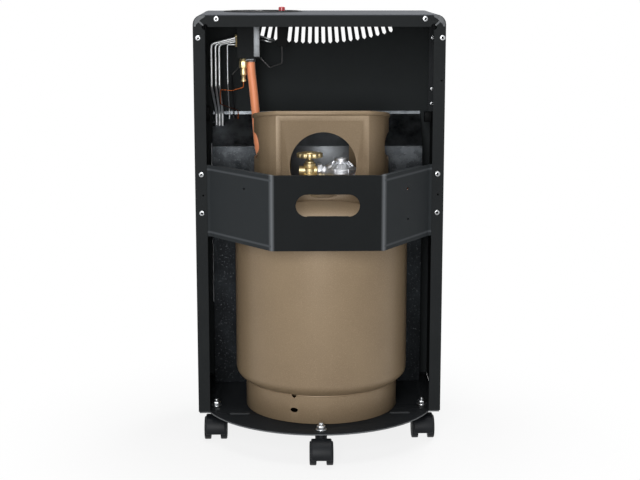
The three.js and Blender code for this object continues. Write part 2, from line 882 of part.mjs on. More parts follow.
function cylinderValve() {
  const low = neckTop + gap;
  const shoulder = outletZ - unionNutRadius - 2 * gap;
  return join(
    rodZ(neckBore - gap, bottleX, bottleY, domeTop - 2 * bottleWall, low + 1, 16),
    rodZ(neckRadius - 4, bottleX, bottleY, low, shoulder, 6),
    box(columnX - valveBlockHalf, bottleX, bottleY - 8, bottleY + 8, low, shoulder),
    rodZ(valveColumnRadius, columnX, bottleY, low + 1, valveColumnTop, 16),
    rodX(unionNutRadius - 5, bottleY, outletZ, columnX, outletX, 12),
    rodZ(valveSpindleRadius, columnX, bottleY, valveColumnTop - 1, handwheelZ + handwheelHeight - 3, 12),
  );
}

// A round handwheel with a scalloped edge and a socket for the spindle.
function valveHandwheel() {
  const depth = handwheelRadius / 9;
  const count = handwheelLobes * 6;
  const edge = Array.from({ length: count }, (_, i) => {
    const angle = (2 * Math.PI * i) / count;
    const radius = handwheelRadius - depth * (0.5 - 0.5 * Math.cos(handwheelLobes * angle));
    return [columnX + radius * Math.cos(angle), bottleY + radius * Math.sin(angle)];
  });
  const top = handwheelZ + handwheelHeight;
  return cut(
    join(prismZ(outline(edge), handwheelZ, top - 1.5), rodZ(handwheelRadius / 2, columnX, bottleY, handwheelZ, top, 20)),
    rodZ(valveSpindleRadius + runningGap, columnX, bottleY, handwheelZ - 1, top - 2, 12),
  );
}

const nutStartX = outletX + gap;
const regulatorX = nutStartX + unionNutLength + gap + regulatorRadius;
const tailDrop = THREE.MathUtils.degToRad(regulatorTailDrop);
const tailTurn = THREE.MathUtils.degToRad(regulatorTailTurn);

// A point on the axis of the regulator's tail, at a distance from the regulator's middle.
function alongTail(distance) {
  const level = distance * Math.cos(tailDrop);
  return [
    regulatorX + level * Math.cos(tailTurn),
    bottleY - level * Math.sin(tailTurn),
    outletZ - distance * Math.sin(tailDrop),
  ];
}

function unionNut() {
  const hex = rodX(unionNutRadius, bottleY, outletZ, nutStartX, nutStartX + unionNutLength * 0.6, 6);
  return join(hex, rodX(unionNutRadius - 3, bottleY, outletZ, nutStartX, nutStartX + unionNutLength, 12));
}

// A low drum with a cap on top and a tail for the hose.
function regulatorBody() {
  const half = regulatorHeight / 2;
  const waist = regulatorRadius - 5;
  const drum = turned(
    [
      [0, outletZ - half],
      [waist, outletZ - half],
      [regulatorRadius, outletZ - 3],
      [regulatorRadius, outletZ + 3],
      [waist, outletZ + half - 4],
      [regulatorCapRadius + 2, outletZ + half],
      [regulatorCapRadius, outletZ + half],
      [regulatorCapRadius, outletZ + half + regulatorCapHeight],
      [0, outletZ + half + regulatorCapHeight],
    ],
    regulatorX,
    bottleY,
    24,
  );
  const tail = [0, regulatorRadius + regulatorTailLength].map((distance) => new THREE.Vector3(...alongTail(distance)));
  return join(drum, tube(tail, regulatorTailRadius, 12));
}

show("cylinder_shell", cylinderShell(), bottlePaint);
show("cylinder_foot_ring", footRing(), bottlePaint);
show("cylinder_collar", cylinderCollar(), bottlePaint);
show("cylinder_valve", cylinderValve(), brass);
show("valve_handwheel", valveHandwheel(), brass);
show("regulator_union_nut", unionNut(), brass);
show("regulator_body", regulatorBody(), dieCast);

// ---- Rear guard band -------------------------------------------------------

// The band seen from above, outer face, from its left tab to its right tab.
const tabY = sheet + gap;
const bandLine = [
  [-bandTabX, tabY],
  [-bandWingX, tabY],
  [bandLeftX, bandRearY],
  [bandRightX, bandRearY],
  [bandWingX, tabY],
  [bandTabX, tabY],
];

// A keyhole for a hanging screw: narrow where the band rests, wide where it has been lifted.
function keyhole(x, z) {
  const narrow = screwShankRadius + screwPlay;
  const wide = screwCollarRadius + 2 * screwPlay;
  const back = tabY + 2 * sheet;
  return join(
    rodY(narrow, x, z, 0, back, 12),
    box(x - narrow, x + narrow, 0, back, z - bandLift, z),
    rodY(wide, x, z - bandLift, 0, back, 12),
  );
}

function guardBand() {
  const skin = prismZ(bentStrip(bandLine, bandBend, sheet, 4), bandBottom, bandTop);
  const wings = bandLine.slice(1, 5);
  wings[0] = [-bandWingX + bandLip, tabY - (bandLip * (tabY - bandRearY)) / (bandWingX + bandLeftX)];
  wings[3] = [bandWingX - bandLip, tabY - (bandLip * (tabY - bandRearY)) / (bandWingX - bandRightX)];
  const inside = (distance) => offsetLine(wings, distance).map((point) => [point.x, point.y]);
  const lip = outline([...inside(sheet - gap), ...inside(bandLip).reverse()]);
  const slot = stadium(handSlotX, handSlotZ, handSlotWidth, handSlotHeight);
  const slotFoot = handSlotZ - handSlotHeight / 2;
  const reach = handSlotWidth / 2 - handSlotHeight / 2;
  const back = bandRearY + sheet;
  const whole = join(
    skin,
    prismZ(lip, bandBottom, bandBottom + sheet),
    prismZ(lip, bandTop - sheet, bandTop),
    box(handSlotX - reach, handSlotX + reach, back - gap, back + handSlotLip, slotFoot - sheet, slotFoot),
  );
  const keyholes = bandScrewPlaces().map(([x, z]) => keyhole(x, z));
  return cut(whole, prismY(slot, bandRearY - 1, back + gap, 8), ...keyholes);
}

// A hanging screw: its head outside the flange, its collar behind the band's tab.
function bandScrew(x, z) {
  const headBack = -gap;
  const collarStart = tabY + sheet + gap;
  return join(
    rodY(screwHeadRadius, x, z, headBack - screwHeadHeight / 2, headBack, 10),
    rodY(screwHeadRadius * 0.7, x, z, headBack - screwHeadHeight, headBack - screwHeadHeight / 2 + 0.1, 10),
    rodY(screwShankRadius, x, z, headBack - 0.1, collarStart + 0.1, 6),
    rodY(screwCollarRadius, x, z, collarStart, collarStart + screwCollarLength, 8),
  );
}

show("rear_guard_band", guardBand(), blackPaint);
bandScrewPlaces().forEach(([x, z], i) => show(`band_screw_${i + 1}`, bandScrew(x, z), zincPlate));

// ---- Heat shield -----------------------------------------------------------

// The shield seen from above: flat, with a pocket round the bottle. The offset moves it to the front.
function pocketLine(offset) {
  const radius = bottleRadius + shieldPocketGap + offset;
  const y = shieldY + offset;
  const start = Math.asin((y - bottleY) / radius);
  const steps = 8;
  const pocket = Array.from({ length: steps + 1 }, (_, i) => {
    const angle = Math.PI - start - ((Math.PI - 2 * start) * i) / steps;
    return [bottleX + radius * Math.cos(angle), bottleY + radius * Math.sin(angle)];
  });
  return [[-shieldHalfWidth, y], ...pocket, [shieldHalfWidth, y]];
}

function roofHoles() {
  const pipes = supplyX.map((x) => [x, burnerPipeY, supplyRadius]);
  const lines = [
    [pilotX, leadY, pilotRadius],
    [ignitionX, leadY, leadRadius],
    [thermocoupleX, leadY, leadRadius],
  ];
  return [...pipes, ...lines].map(([x, y, radius]) => {
    return rodZ(radius + 2 * runningGap, x, y, shieldBendZ, shieldRoofEndZ + shieldLip, 12);
  });
}

function heatShield() {
  const roofLine = [
    [shieldY, shieldBendZ],
    [shieldRoofEndY, shieldRoofEndZ],
    [shieldRoofEndY, shieldRoofEndZ + shieldLip],
  ];
  const roof = prismX(bentStrip(roofLine, 2, shieldSheet, 2), -shieldHalfWidth, shieldHalfWidth);
  const high = shieldRoofEndZ + 2 * shieldLip;
  const wall = prismZ(outline([...pocketLine(0), ...pocketLine(shieldSheet).reverse()]), plateTop + gap, high);
  const lift = shieldSheet / 2;
  const overRoof = outline([
    [shieldY - 1, shieldBendZ + lift],
    [shieldY, shieldBendZ + lift],
    [shieldRoofEndY, shieldRoofEndZ + lift],
    [shieldRoofEndY, high + 1],
    [shieldY - 1, high + 1],
  ]);
  const outside = shieldHalfWidth + 1;
  return cut(join(cut(wall, prismX(overRoof, -outside, outside)), roof), ...roofHoles());
}

show("heat_shield", heatShield(), galvanised);

// ---- Burner ----------------------------------------------------------------

const plenumFront = plenumBackY + plenumDepth;
const burnerX = [-burnerPitch, 0, burnerPitch];
const plaqueFront = plenumFront + plaqueProud;

// Half of a plaque's width, and its lower and upper end, with room round it.
function plaqueEdges(room) {
  const inset = plenumSheet + gap - room;
  return [plenumWidth / 2 - inset, plenumBottom + inset, plenumTop - inset];
}

function burnerPlenum(x) {
  const [half, low, high] = plaqueEdges(gap);
  const shell = cut(
    box(x - plenumWidth / 2, x + plenumWidth / 2, plenumBackY, plenumFront, plenumBottom, plenumTop),
    box(x - half, x + half, plenumBackY + plenumSheet, plenumFront + 1, low, high),
  );
  const injector = rodZ(injectorRadius, x, burnerPipeY, plenumTop - plenumSheet / 2, plenumTop + injectorHeight, 6);
  return join(shell, injector);
}

function ceramicPlaque(x) {
  const [half, low, high] = plaqueEdges(0);
  return box(x - half, x + half, plaqueFront - plaqueThickness, plaqueFront, low, high);
}

// A block whose rear and front faces are rectangles of different size: [half width, low, high, depth].
function tapered([rearHalf, rearLow, rearHigh, rearY], [frontHalf, frontLow, frontHigh, frontY]) {
  const block = new THREE.BoxGeometry(1, 1, 1);
  const corner = block.getAttribute("position");
  for (let i = 0; i < corner.count; i++) {
    const front = corner.getY(i) > 0;
    const half = front ? frontHalf : rearHalf;
    const [low, high] = front ? [frontLow, frontHigh] : [rearLow, rearHigh];
    corner.setXYZ(i, Math.sign(corner.getX(i)) * half, front ? frontY : rearY, corner.getZ(i) > 0 ? high : low);
  }
  return solid(block);
}

function reflector() {
  const t = reflectorSheet;
  const rearY = plenumFront + gap;
  const frontY = panelInner - gap;
  const half = burnerPitch + plenumWidth / 2 + reflectorMargin;
  const low = plenumBottom - reflectorMargin;
  const high = plenumTop + reflectorMargin;
  const windowHalf = windowWidth / 2;
  const skin = cut(
    tapered([half + t, low - t, high + t, rearY], [windowHalf + t, windowBottom - t, windowTop + t, frontY]),
    tapered([half, low, high, rearY + t], [windowHalf, windowBottom, windowTop, frontY + t]),
  );
  const lipHalf = windowHalf + reflectorLip;
  const lip = cut(
    box(-lipHalf, lipHalf, frontY - t, frontY, windowBottom - reflectorLip, windowTop + reflectorLip),
    tapered([windowHalf, windowBottom, windowTop, frontY - 2 * t], [windowHalf, windowBottom, windowTop, frontY + t]),
  );
  const [plaqueHalf, plaqueLow, plaqueHigh] = plaqueEdges(gap);
  const openings = burnerX.map((x) => box(x - plaqueHalf, x + plaqueHalf, rearY - 1, frontY, plaqueLow, plaqueHigh));
  const tips = [pilotBurnerX, electrodeTipX, thermocoupleTipX].map((x) => {
    return rodZ(pilotRadius * 2 + 2 * runningGap, x, pilotBurnerY, thermocoupleRunZ, pilotBurnerTop, 12);
  });
  return cut(join(skin, lip), ...openings, ...tips);
}

burnerX.forEach((x, i) => {
  show(`burner_plenum_${i + 1}`, burnerPlenum(x), zincPlate);
  show(`ceramic_plaque_${i + 1}`, ceramicPlaque(x), ceramic);
});
show("reflector", reflector(), polishedSteel);

const guardRearY = panelFront + gap;
const guardFrontY = guardRearY + guardProud;

function guardGrille() {
  const levels = [windowBottom + guardOverhang, (windowBottom + windowTop) / 2, windowTop - guardOverhang];
  const wires = levels.map((z) => {
    const corners = [
      [-guardHalfWidth, guardRearY, z],
      [-guardHalfWidth, guardFrontY, z],
      [guardHalfWidth, guardFrontY, z],
      [guardHalfWidth, guardRearY, z],
    ];
    return pipe(corners, guardWire, pipeBend, 8, 3);
  });
  const rodPlaneY = guardFrontY + guardWire + guardRod / 2;
  const rods = Array.from({ length: guardRods }, (_, i) => {
    const x = (i - (guardRods - 1) / 2) * guardPitch;
    return rodZ(guardRod, x, rodPlaneY, windowBottom - guardOverhang, windowTop + guardOverhang, 6);
  });
  return join(...wires, ...rods);
}

show("guard_grille", guardGrille(), polishedSteel);

// ---- Gas tap and controls --------------------------------------------------

function gasValve() {
  const body = box(tapLeft, tapRight, tapRearY, tapFrontY, tapBottom, tapTop);
  const neck = rodZ(tapNeckRadius, tapX, knobY, tapTop - 1, tapTop + tapNeckHeight, 16);
  const bore = rodZ(spindleRadius + runningGap, tapX, knobY, spindleBottom - gap, tapTop + tapNeckHeight + 1, 12);
  return cut(join(body, neck), bore);
}

// A folded strap: rear plate, side cheek that holds the tap, and a foot under the top of the cabinet.
function valveBracket() {
  const topZ = cabinetTop - sheet - gap;
  const cheek = bracketStrip - sheet;
  return join(
    box(bracketLeft, bracketStrip, bracketRearY, bracketRearY + sheet, bracketBottom, topZ),
    box(cheek, bracketStrip, bracketRearY, tapFrontY, bracketBottom, tapTop),
    box(bracketLeft, bracketStrip, bracketRearY - railWidth, bracketRearY + sheet, topZ - sheet, topZ),
  );
}

function hoseInlet() {
  const hexTop = tapBottom - gap;
  return join(
    rodZ(inletHexRadius, tapX, inletY, hexTop - inletHexHeight, hexTop - 2, 6),
    rodZ(inletHexRadius - 2, tapX, inletY, hexTop - 3, hexTop, 12),
  );
}

function controlDish() {
  const floorBottom = dishFloorZ - dishWall;
  const rimBottom = cabinetTop + gap;
  const body = join(
    prismZ(ellipse(dishX, knobY, dishHalfLength, dishHalfWidth), floorBottom, rimBottom + dishRimHeight / 2, 12),
    prismZ(ellipse(dishX, knobY, dishHalfLength + dishRim, dishHalfWidth + dishRim), rimBottom, rimBottom + dishRimHeight, 12),
  );
  return cut(
    body,
    prismZ(ellipse(dishX, knobY, dishHalfLength - dishWall, dishHalfWidth - dishWall), dishFloorZ, knobTop, 12),
    rodZ(spindleRadius + 2 * runningGap, tapX, knobY, floorBottom - 1, dishFloorZ + 1, 12),
    rodZ(barrelRadius + runningGap, buttonX, knobY, floorBottom - 1, dishFloorZ + 1, 16),
  );
}

function controlKnob() {
  const grip = stadium(tapX, knobY, 2 * knobRadius - 3, knobGripWidth);
  return cut(
    join(
      rodZ(knobRadius, tapX, knobY, knobBottom, knobBottom + knobSkirtHeight, 32),
      prismZ(grip, knobBottom + knobSkirtHeight / 2, knobTop, 6),
    ),
    rodZ(spindleRadius + runningGap, tapX, knobY, knobBottom - 1, spindleTop + knobTravel + gap, 12),
  );
}

function piezoIgniter() {
  const half = igniterWidth / 2;
  const bodyTop = dishFloorZ - dishWall - gap;
  const flangeLow = dishFloorZ + gap;
  const boreLow = buttonTop - buttonLength - buttonTravel - gap;
  return cut(
    join(
      box(buttonX - half, buttonX + half, knobY - half, knobY + half, igniterBottom, bodyTop),
      rodZ(barrelRadius, buttonX, knobY, bodyTop - 1, barrelTop, 16),
      rodZ(barrelFlangeRadius, buttonX, knobY, flangeLow, flangeLow + barrelFlangeHeight, 16),
    ),
    rodZ(buttonRadius + runningGap, buttonX, knobY, boreLow, barrelTop + 1, 16),
  );
}

function igniterButton() {
  const dome = [
    [0, buttonTop - buttonLength],
    [buttonRadius, buttonTop - buttonLength],
    [buttonRadius, buttonTop - 2],
    [buttonRadius - 0.7, buttonTop - 0.6],
    [buttonRadius - 2.2, buttonTop],
    [0, buttonTop],
  ];
  return turned(dome, buttonX, knobY, 16);
}

show("gas_valve", gasValve(), dieCast);
show("valve_bracket", valveBracket(), blackPaint);
show("hose_inlet", hoseInlet(), brass);
show("control_dish", controlDish(), blackPlastic);
show("valve_spindle", rodZ(spindleRadius, tapX, knobY, spindleBottom, spindleTop, 12), zincPlate);
show("control_knob", controlKnob(), blackPlastic);
show("piezo_igniter", piezoIgniter(), blackPlastic);
show("igniter_button", igniterButton(), redPlastic);

// ---- Pipes and leads -------------------------------------------------------

function supplyPipe(i) {
  const [x, tapY, tapZ, runZ] = [supplyX[i], supplyTapY[i], supplyTapZ[i], supplyRunZ[i]];
  const roomAbove = shieldRoofEndZ + shieldLip;
  return pipe(
    [
      [tapLeft - gap, tapY, tapZ],
      [x, tapY, tapZ],
      [x, tapY, roomAbove + 50],
      [x, burnerPipeY, roomAbove],
      [x, burnerPipeY, runZ],
      [burnerX[i], burnerPipeY, runZ],
      [burnerX[i], burnerPipeY, plenumTop + injectorHeight + gap],
    ],
    supplyRadius,
    supplyRadius * 3,
    8,
    2,
  );
}

// The way of a thin line from above the shield's roof, down beside the burner and along under the window.
function underBurner(upperX, lowerX, runZ, tipX, tipZ) {
  return [
    [upperX, leadY, shieldRoofEndZ],
    [upperX, leadY, shieldBendZ + 20],
    [lowerX, leadY, shieldBendZ],
    [lowerX, leadY, runZ],
    [tipX, leadY, runZ],
    [tipX, leadY, runZ + 9],
    [tipX, pilotBurnerY, runZ + 12],
    [tipX, pilotBurnerY, tipZ],
  ];
}

function pilotPipe() {
  return pipe(
    [
      [tapLeft - gap, knobY, pilotTapZ],
      [pilotX, knobY, pilotTapZ],
      [pilotX, knobY, shieldRoofEndZ + 60],
      [pilotX, leadY, shieldRoofEndZ + 10],
      ...underBurner(pilotX, lowerPilotX, pilotRunZ, pilotBurnerX, pilotBurnerBottom - gap).slice(1),
    ],
    pilotRadius,
    3,
    6,
    2,
  );
}

function pilotBurner() {
  return join(
    rodZ(pilotRadius * 2, pilotBurnerX, pilotBurnerY, pilotBurnerBottom, pilotBurnerTop, 12),
    rodZ(pilotRadius * 2.4, pilotBurnerX, pilotBurnerY, pilotBurnerBottom, pilotBurnerBottom + 4, 6),
  );
}

// A brass union under the tap with its copper lead to a probe beside the pilot flame.
function thermocouple() {
  const nose = turned(
    [
      [0, unionBottom],
      [2.4, unionBottom],
      [3.4, unionBottom + 14],
      [6, unionBottom + 24],
      [6, unionBottom + 27],
      [0, unionBottom + 27],
    ],
    unionX,
    unionY,
    12,
  );
  const hex = rodZ(6.8, unionX, unionY, unionBottom + 26, unionBottom + 42, 6);
  const thread = rodZ(4, unionX, unionY, unionBottom + 41, unionTop, 12);
  const tip = underBurner(thermocoupleX, lowerThermocoupleX, thermocoupleRunZ, thermocoupleTipX, pilotBurnerTop - 3);
  const lead = pipe(
    [
      [unionX, unionY, unionBottom + 2],
      [unionX, unionY, unionBottom - 10],
      [ignitionX, unionY + 2, unionBottom - 16],
      [bightX, unionY + 4, unionBottom - 14],
      [bightX, unionY + 6, unionBottom - 40],
      [thermocoupleX, leadY, shieldRoofEndZ + 8],
      ...tip.slice(1),
    ],
    leadRadius,
    3,
    6,
    2,
  );
  return join(nose, hex, thread, lead);
}

// The spark lead hangs in a loose bight under the igniter and then follows the pilot pipe.
function ignitionLead() {
  const way = underBurner(ignitionX, lowerIgnitionX, ignitionRunZ, electrodeTipX, pilotBurnerBottom - gap);
  return pipe(
    [
      [buttonX, knobY, igniterBottom - gap],
      [buttonX, knobY, igniterBottom - 30],
      [buttonX - 22, knobY + 4, igniterBottom - 38],
      [buttonX - 40, knobY + 6, igniterBottom - 20],
      [tapX - 10, knobY + 4, igniterBottom - 24],
      [ignitionX, knobY - 4, igniterBottom - 50],
      [ignitionX, leadY, shieldRoofEndZ + 9],
      ...way.slice(1),
    ],
    leadRadius,
    5,
    6,
    2,
  );
}

function sparkElectrode() {
  return join(
    rodZ(3, electrodeTipX, pilotBurnerY, pilotBurnerBottom, pilotBurnerTop - 6, 10),
    rodZ(1.2, electrodeTipX, pilotBurnerY, pilotBurnerTop - 7, pilotBurnerTop + 2, 6),
  );
}

supplyX.forEach((_, i) => show(`supply_pipe_${i + 1}`, supplyPipe(i), aluminiumPipe));
show("pilot_pipe", pilotPipe(), aluminiumPipe);
show("pilot_burner", pilotBurner(), brass);
show("thermocouple", thermocouple(), copper);
show("ignition_lead", ignitionLead(), blackPlastic);
show("spark_electrode", sparkElectrode(), ceramic);

// ---- Gas hose --------------------------------------------------------------

// From the regulator's tail out under the collar, round the back of the bottle and up to the tap.
const hoseWay = [
  alongTail(regulatorRadius + regulatorTailLength + 2 * gap),
  alongTail(regulatorRadius + regulatorTailLength + 10),
  [97.4, 44.8, 448],
  [113.2, 48.3, 444.5],
  [127.6, 55.8, 441.6],
  [139.5, 66.7, 439],
  [148.2, 80.4, 436.7],
  [153, 95.8, 434.5],
  [153.8, 112, 432.5],
  [150.3, 127.8, 430.5],
  [142.8, 142.2, 429],
  [131.9, 154.1, 427.5],
  [118.2, 162.8, 426],
  [102.8, 167.7, 425],
  [62, 173, 423.5],
  [24, 178.5, 423.5],
  [-14, 180, 423.5],
  [-48, 176.5, 426],
  [-76, 166.5, 440],
  [-96, 155.5, 466],
  [-105, 150.5, 497],
  [-108, 150, 528],
  [-110, 150, 556],
  [-114, 150, 600],
  [tapX, inletY, 640],
  [tapX, inletY, tapBottom - 2 * gap - inletHexHeight],
];

function clipRing(from, to) {
  const points = [from, to].map((point) => new THREE.Vector3(...point));
  const longer = points[1].clone().sub(points[0]);
  const bore = [points[0].clone().addScaledVector(longer, -1), points[1].clone().add(longer)];
  const inner = hoseRadius + gap * 1.5;
  return cut(tube(points, inner + clipWall, 20), tube(bore, inner, 20));
}

function hoseClip(from, to, screwPlace) {
  return join(clipRing(from, to), screwPlace);
}

const inletClipTop = tapBottom - inletHexHeight - 3;
const inletClip = hoseClip(
  [tapX, inletY, inletClipTop - clipWidth],
  [tapX, inletY, inletClipTop],
  box(tapX - 4, tapX + 4, inletY - hoseRadius - 6, inletY - hoseRadius - 1, inletClipTop - clipWidth, inletClipTop),
);

show("gas_hose", flexible(hoseWay, hoseRadius, 10, 2 * hoseRadius * 1.5), hoseRubber);
show("hose_clip_inlet", inletClip, zincPlate);

const footprint = new THREE.Group();
const frontReach = guardFrontY + guardWire + 1.5 * guardRod;
const rearReach = middleCasterY - casterTrail - hoodRadius;
heater.position.y = -(frontReach + rearReach) / 2;
footprint.add(heater);

export default footprint;
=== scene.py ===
# %% [markdown]
# # A portable gas cabinet heater, seen from its open back
#
# The real object is a box of thin black sheet on five casters. Its back is open, so a gas
# bottle can be rolled in and kept there by a bent guard band. Under the top sheet sit the
# gas tap, the igniter and their thin pipes, and an orange hose joins the bottle to the tap.
#
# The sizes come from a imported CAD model, which this lesson loads first. Flat sheet-metal
# pieces keep their CAD shape and get the small rounded edges that bent sheet has. Round
# pieces, such as the bottle, the casters and the valve, are made again with more sides.

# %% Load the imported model
import math

import bmesh
import bpy
from mathutils import Matrix, Vector


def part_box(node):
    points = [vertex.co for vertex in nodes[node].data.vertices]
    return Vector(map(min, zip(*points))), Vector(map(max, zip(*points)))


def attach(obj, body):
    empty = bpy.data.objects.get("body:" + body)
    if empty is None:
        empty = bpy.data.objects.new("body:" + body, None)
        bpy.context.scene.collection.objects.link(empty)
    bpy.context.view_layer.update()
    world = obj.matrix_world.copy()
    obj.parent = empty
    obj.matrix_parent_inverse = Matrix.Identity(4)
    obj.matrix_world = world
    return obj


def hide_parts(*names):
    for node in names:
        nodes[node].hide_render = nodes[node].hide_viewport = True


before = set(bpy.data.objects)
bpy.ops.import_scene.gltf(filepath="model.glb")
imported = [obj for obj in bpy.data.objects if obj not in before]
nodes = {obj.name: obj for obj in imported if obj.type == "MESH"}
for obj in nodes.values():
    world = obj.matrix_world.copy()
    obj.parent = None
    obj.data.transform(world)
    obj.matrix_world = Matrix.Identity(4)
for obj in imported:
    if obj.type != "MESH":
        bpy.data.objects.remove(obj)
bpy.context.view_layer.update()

# %% [markdown]
# ## Millimetres and places
#
# The drawing of this heater counts its depth from the rear flanges of the cabinet. The
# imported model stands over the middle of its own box, 56.6 mm further forward. One small
# function turns a place in the drawing into metres in the model, so that each size below
# can be written as it would stand on the drawing.

# %% Places
MM = 0.001
REAR_FLANGES_Y = -56.6


def at(x, y, z):
    """A place in millimetres, its depth counted from the rear flanges, in metres."""
    return Vector((x, y + REAR_FLANGES_Y, z)) * MM


print("rear flanges lie at y =", round(at(0, 0, 0).y, 4), "m")

# %% [markdown]
# ## The camera
#
# The photograph was taken from a little left of the heater's middle and from above its top,
# so that the lid shows as a thin strip. Its lens is long: about 80 mm on a full frame. The
# camera looks down a little instead of shifting its lens, because a shift would push the
# heater out of the picture when the camera is walked round it.

# %% Camera
CAMERA_PLACE = at(-55.6, -2421, 811.8)
LENS_MM = 81.46
PITCH_DOWN = math.radians(10.66)
TURN_RIGHT = math.radians(1.33)

camera_data = bpy.data.cameras.new("photo_camera")
camera_data.lens = LENS_MM
camera_data.sensor_width = 36.0
camera_data.clip_start = 0.05
camera_data.clip_end = 60.0
camera = bpy.data.objects.new("photo_camera", camera_data)
bpy.context.scene.collection.objects.link(camera)
camera.location = CAMERA_PLACE
camera.rotation_euler = (math.pi / 2 - PITCH_DOWN, 0.0, -TURN_RIGHT)
bpy.context.scene.camera = camera
print("camera at", [round(v, 3) for v in camera.location], "lens", LENS_MM, "mm")

# %% [markdown]
# ## The gas hose comes early
#
# A hose is a fixed length of something bendy, so its route is settled before its looks. It
# leaves the regulator's tail, runs round the inside of the cabinet behind the bottle's
# collar and climbs to the inlet under the tap. The points are those of the CAD route. A
# Catmull-Rom curve through them is sampled finely, and a ring is swept along it.

# %% Hose route
HOSE_RADIUS = 7.5
TAIL_DROP = math.radians(20)
TAIL_TURN = math.radians(10)
REGULATOR_CENTRE = (38.6, 53, 468)


def along_tail(reach):
    """A point on the line of the regulator's tail, so far from the regulator's middle."""
    level = reach * math.cos(TAIL_DROP)
    x, y, z = REGULATOR_CENTRE
    return (x + level * math.cos(TAIL_TURN), y - level * math.sin(TAIL_TURN),
            z - reach * math.sin(TAIL_DROP))


HOSE_POINTS = [
    along_tail(36.6), along_tail(46), (97.4, 44.8, 448), (113.2, 48.3, 444.5),
    (127.6, 55.8, 441.6),
    (139.5, 66.7, 439), (148.2, 80.4, 436.7), (153, 95.8, 434.5), (153.8, 112, 432.5),
    (150.3, 127.8, 430.5), (142.8, 142.2, 429), (131.9, 154.1, 427.5), (118.2, 162.8, 426),
    (102.8, 167.7, 425), (62, 173, 423.5), (24, 178.5, 423.5), (-14, 180, 423.5),
    (-48, 176.5, 426), (-76, 166.5, 440), (-96, 155.5, 466), (-105, 150.5, 497),
    (-108, 150, 528), (-110, 150, 556), (-114, 150, 600), (-118, 150, 640), (-118, 150, 659.7),
]


def smooth_route(points, steps):
    """A centripetal Catmull-Rom curve through the points, as many steps between each two."""
    points = [Vector(p) for p in points]
    first = points[0] + (points[0] - points[1])
    last = points[-1] + (points[-1] - points[-2])
    held = [first, *points, last]
    route = [points[0]]
    for a, b, c, d in zip(held, held[1:], held[2:], held[3:]):
        ta = 0.0
        tb = ta + math.sqrt((b - a).length)
        tc = tb + math.sqrt((c - b).length)
        td = tc + math.sqrt((d - c).length)
        for step in range(1, steps + 1):
            t = tb + (tc - tb) * step / steps
            ab = a.lerp(b, (t - ta) / (tb - ta))
            bc = b.lerp(c, (t - tb) / (tc - tb))
            cd = c.lerp(d, (t - tc) / (td - tc))
            abc = ab.lerp(bc, (t - ta) / (tc - ta))
            bcd = bc.lerp(cd, (t - tb) / (td - tb))
            route.append(abc.lerp(bcd, (t - tb) / (tc - tb)))
    return route


hose_route = smooth_route(HOSE_POINTS, 6)

# %% [markdown]
# ## Helpers that make meshes
#
# Every piece ends as a plain mesh whose place is in its points, so its object sits at the
# origin. `piece_from` wraps a mesh as an object and gives it smooth shading up to an angle.
# `add_tube` draws a round bar along a route, and `add_turned` spins an outline round an
# upright line, or round a line along X or Y when its axis says so.

# %% Mesh helpers
def link(name, mesh):
    made = bpy.data.objects.new(name, mesh)
    bpy.context.scene.collection.objects.link(made)
    return made


def shade(mesh, angle=35.0):
    """Smooth shading, with edges sharper than the angle kept crisp."""
    for face in mesh.polygons:
        face.use_smooth = True
    mesh.set_sharp_from_angle(angle=math.radians(angle))


def piece_from(name, bm, material, body="cabinet", angle=35.0):
    """A finished piece from a bmesh: doubles merged, faces turned outwards, riding on its body."""
    bmesh.ops.remove_doubles(bm, verts=bm.verts, dist=1e-6)
    bmesh.ops.recalc_face_normals(bm, faces=bm.faces)
    mesh = bpy.data.meshes.new(name)
    bm.to_mesh(mesh)
    bm.free()
    shade(mesh, angle)
    mesh.materials.append(material)
    made = link(name, mesh)
    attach(made, body)
    return made


def add_tube(bm, route, radius, sides=16, ends=True):
    """Adds a round bar along a route in millimetres, its ring carried along without twist."""
    places = [at(*p) for p in route]
    rings = []
    side = None
    for i, place in enumerate(places):
        ahead = (places[min(i + 1, len(places) - 1)] - places[max(i - 1, 0)]).normalized()
        if side is None:
            side = ahead.orthogonal().normalized()
        side = (side - ahead * side.dot(ahead)).normalized()
        other = ahead.cross(side)
        size = (radius(i / (len(places) - 1)) if callable(radius) else radius) * MM
        turns = [2 * math.pi * k / sides for k in range(sides)]
        rings.append([bm.verts.new(place + (side * math.cos(t) + other * math.sin(t)) * size)
                      for t in turns])
    for low, high in zip(rings, rings[1:]):
        for k in range(sides):
            bm.faces.new((low[k], low[(k + 1) % sides], high[(k + 1) % sides], high[k]))
    if ends:
        bm.faces.new(list(reversed(rings[0])))
        bm.faces.new(rings[-1])


def add_turned(bm, outline, centre, sides=64, axis="Z"):
    """Adds a solid spun from (radius, height) pairs in mm round a line through the centre."""
    frames = {
        "Z": (Vector((1, 0, 0)), Vector((0, 1, 0)), Vector((0, 0, 1))),
        "Y": (Vector((1, 0, 0)), Vector((0, 0, -1)), Vector((0, 1, 0))),
        "X": (Vector((0, 1, 0)), Vector((0, 0, 1)), Vector((1, 0, 0))),
    }
    across, over, along = frames[axis]
    middle = at(*centre)
    rings = []
    for radius, height in outline:
        base = middle + along * height * MM
        if radius < 1e-6:
            rings.append([bm.verts.new(base)])
            continue
        turns = [2 * math.pi * k / sides for k in range(sides)]
        rings.append([bm.verts.new(base + (across * math.cos(t) + over * math.sin(t)) * radius * MM) for t in turns])
    closed = [*zip(rings, rings[1:])]
    if len(rings[0]) > 1 and len(rings[-1]) > 1:
        closed.append((rings[-1], rings[0]))
    for low, high in closed:
        for k in range(sides):
            corners = [low[k % len(low)], low[(k + 1) % len(low)], high[(k + 1) % len(high)],
                       high[k % len(high)]]
            face = list(dict.fromkeys(corners))
            if len(face) > 2:
                bm.faces.new(face)


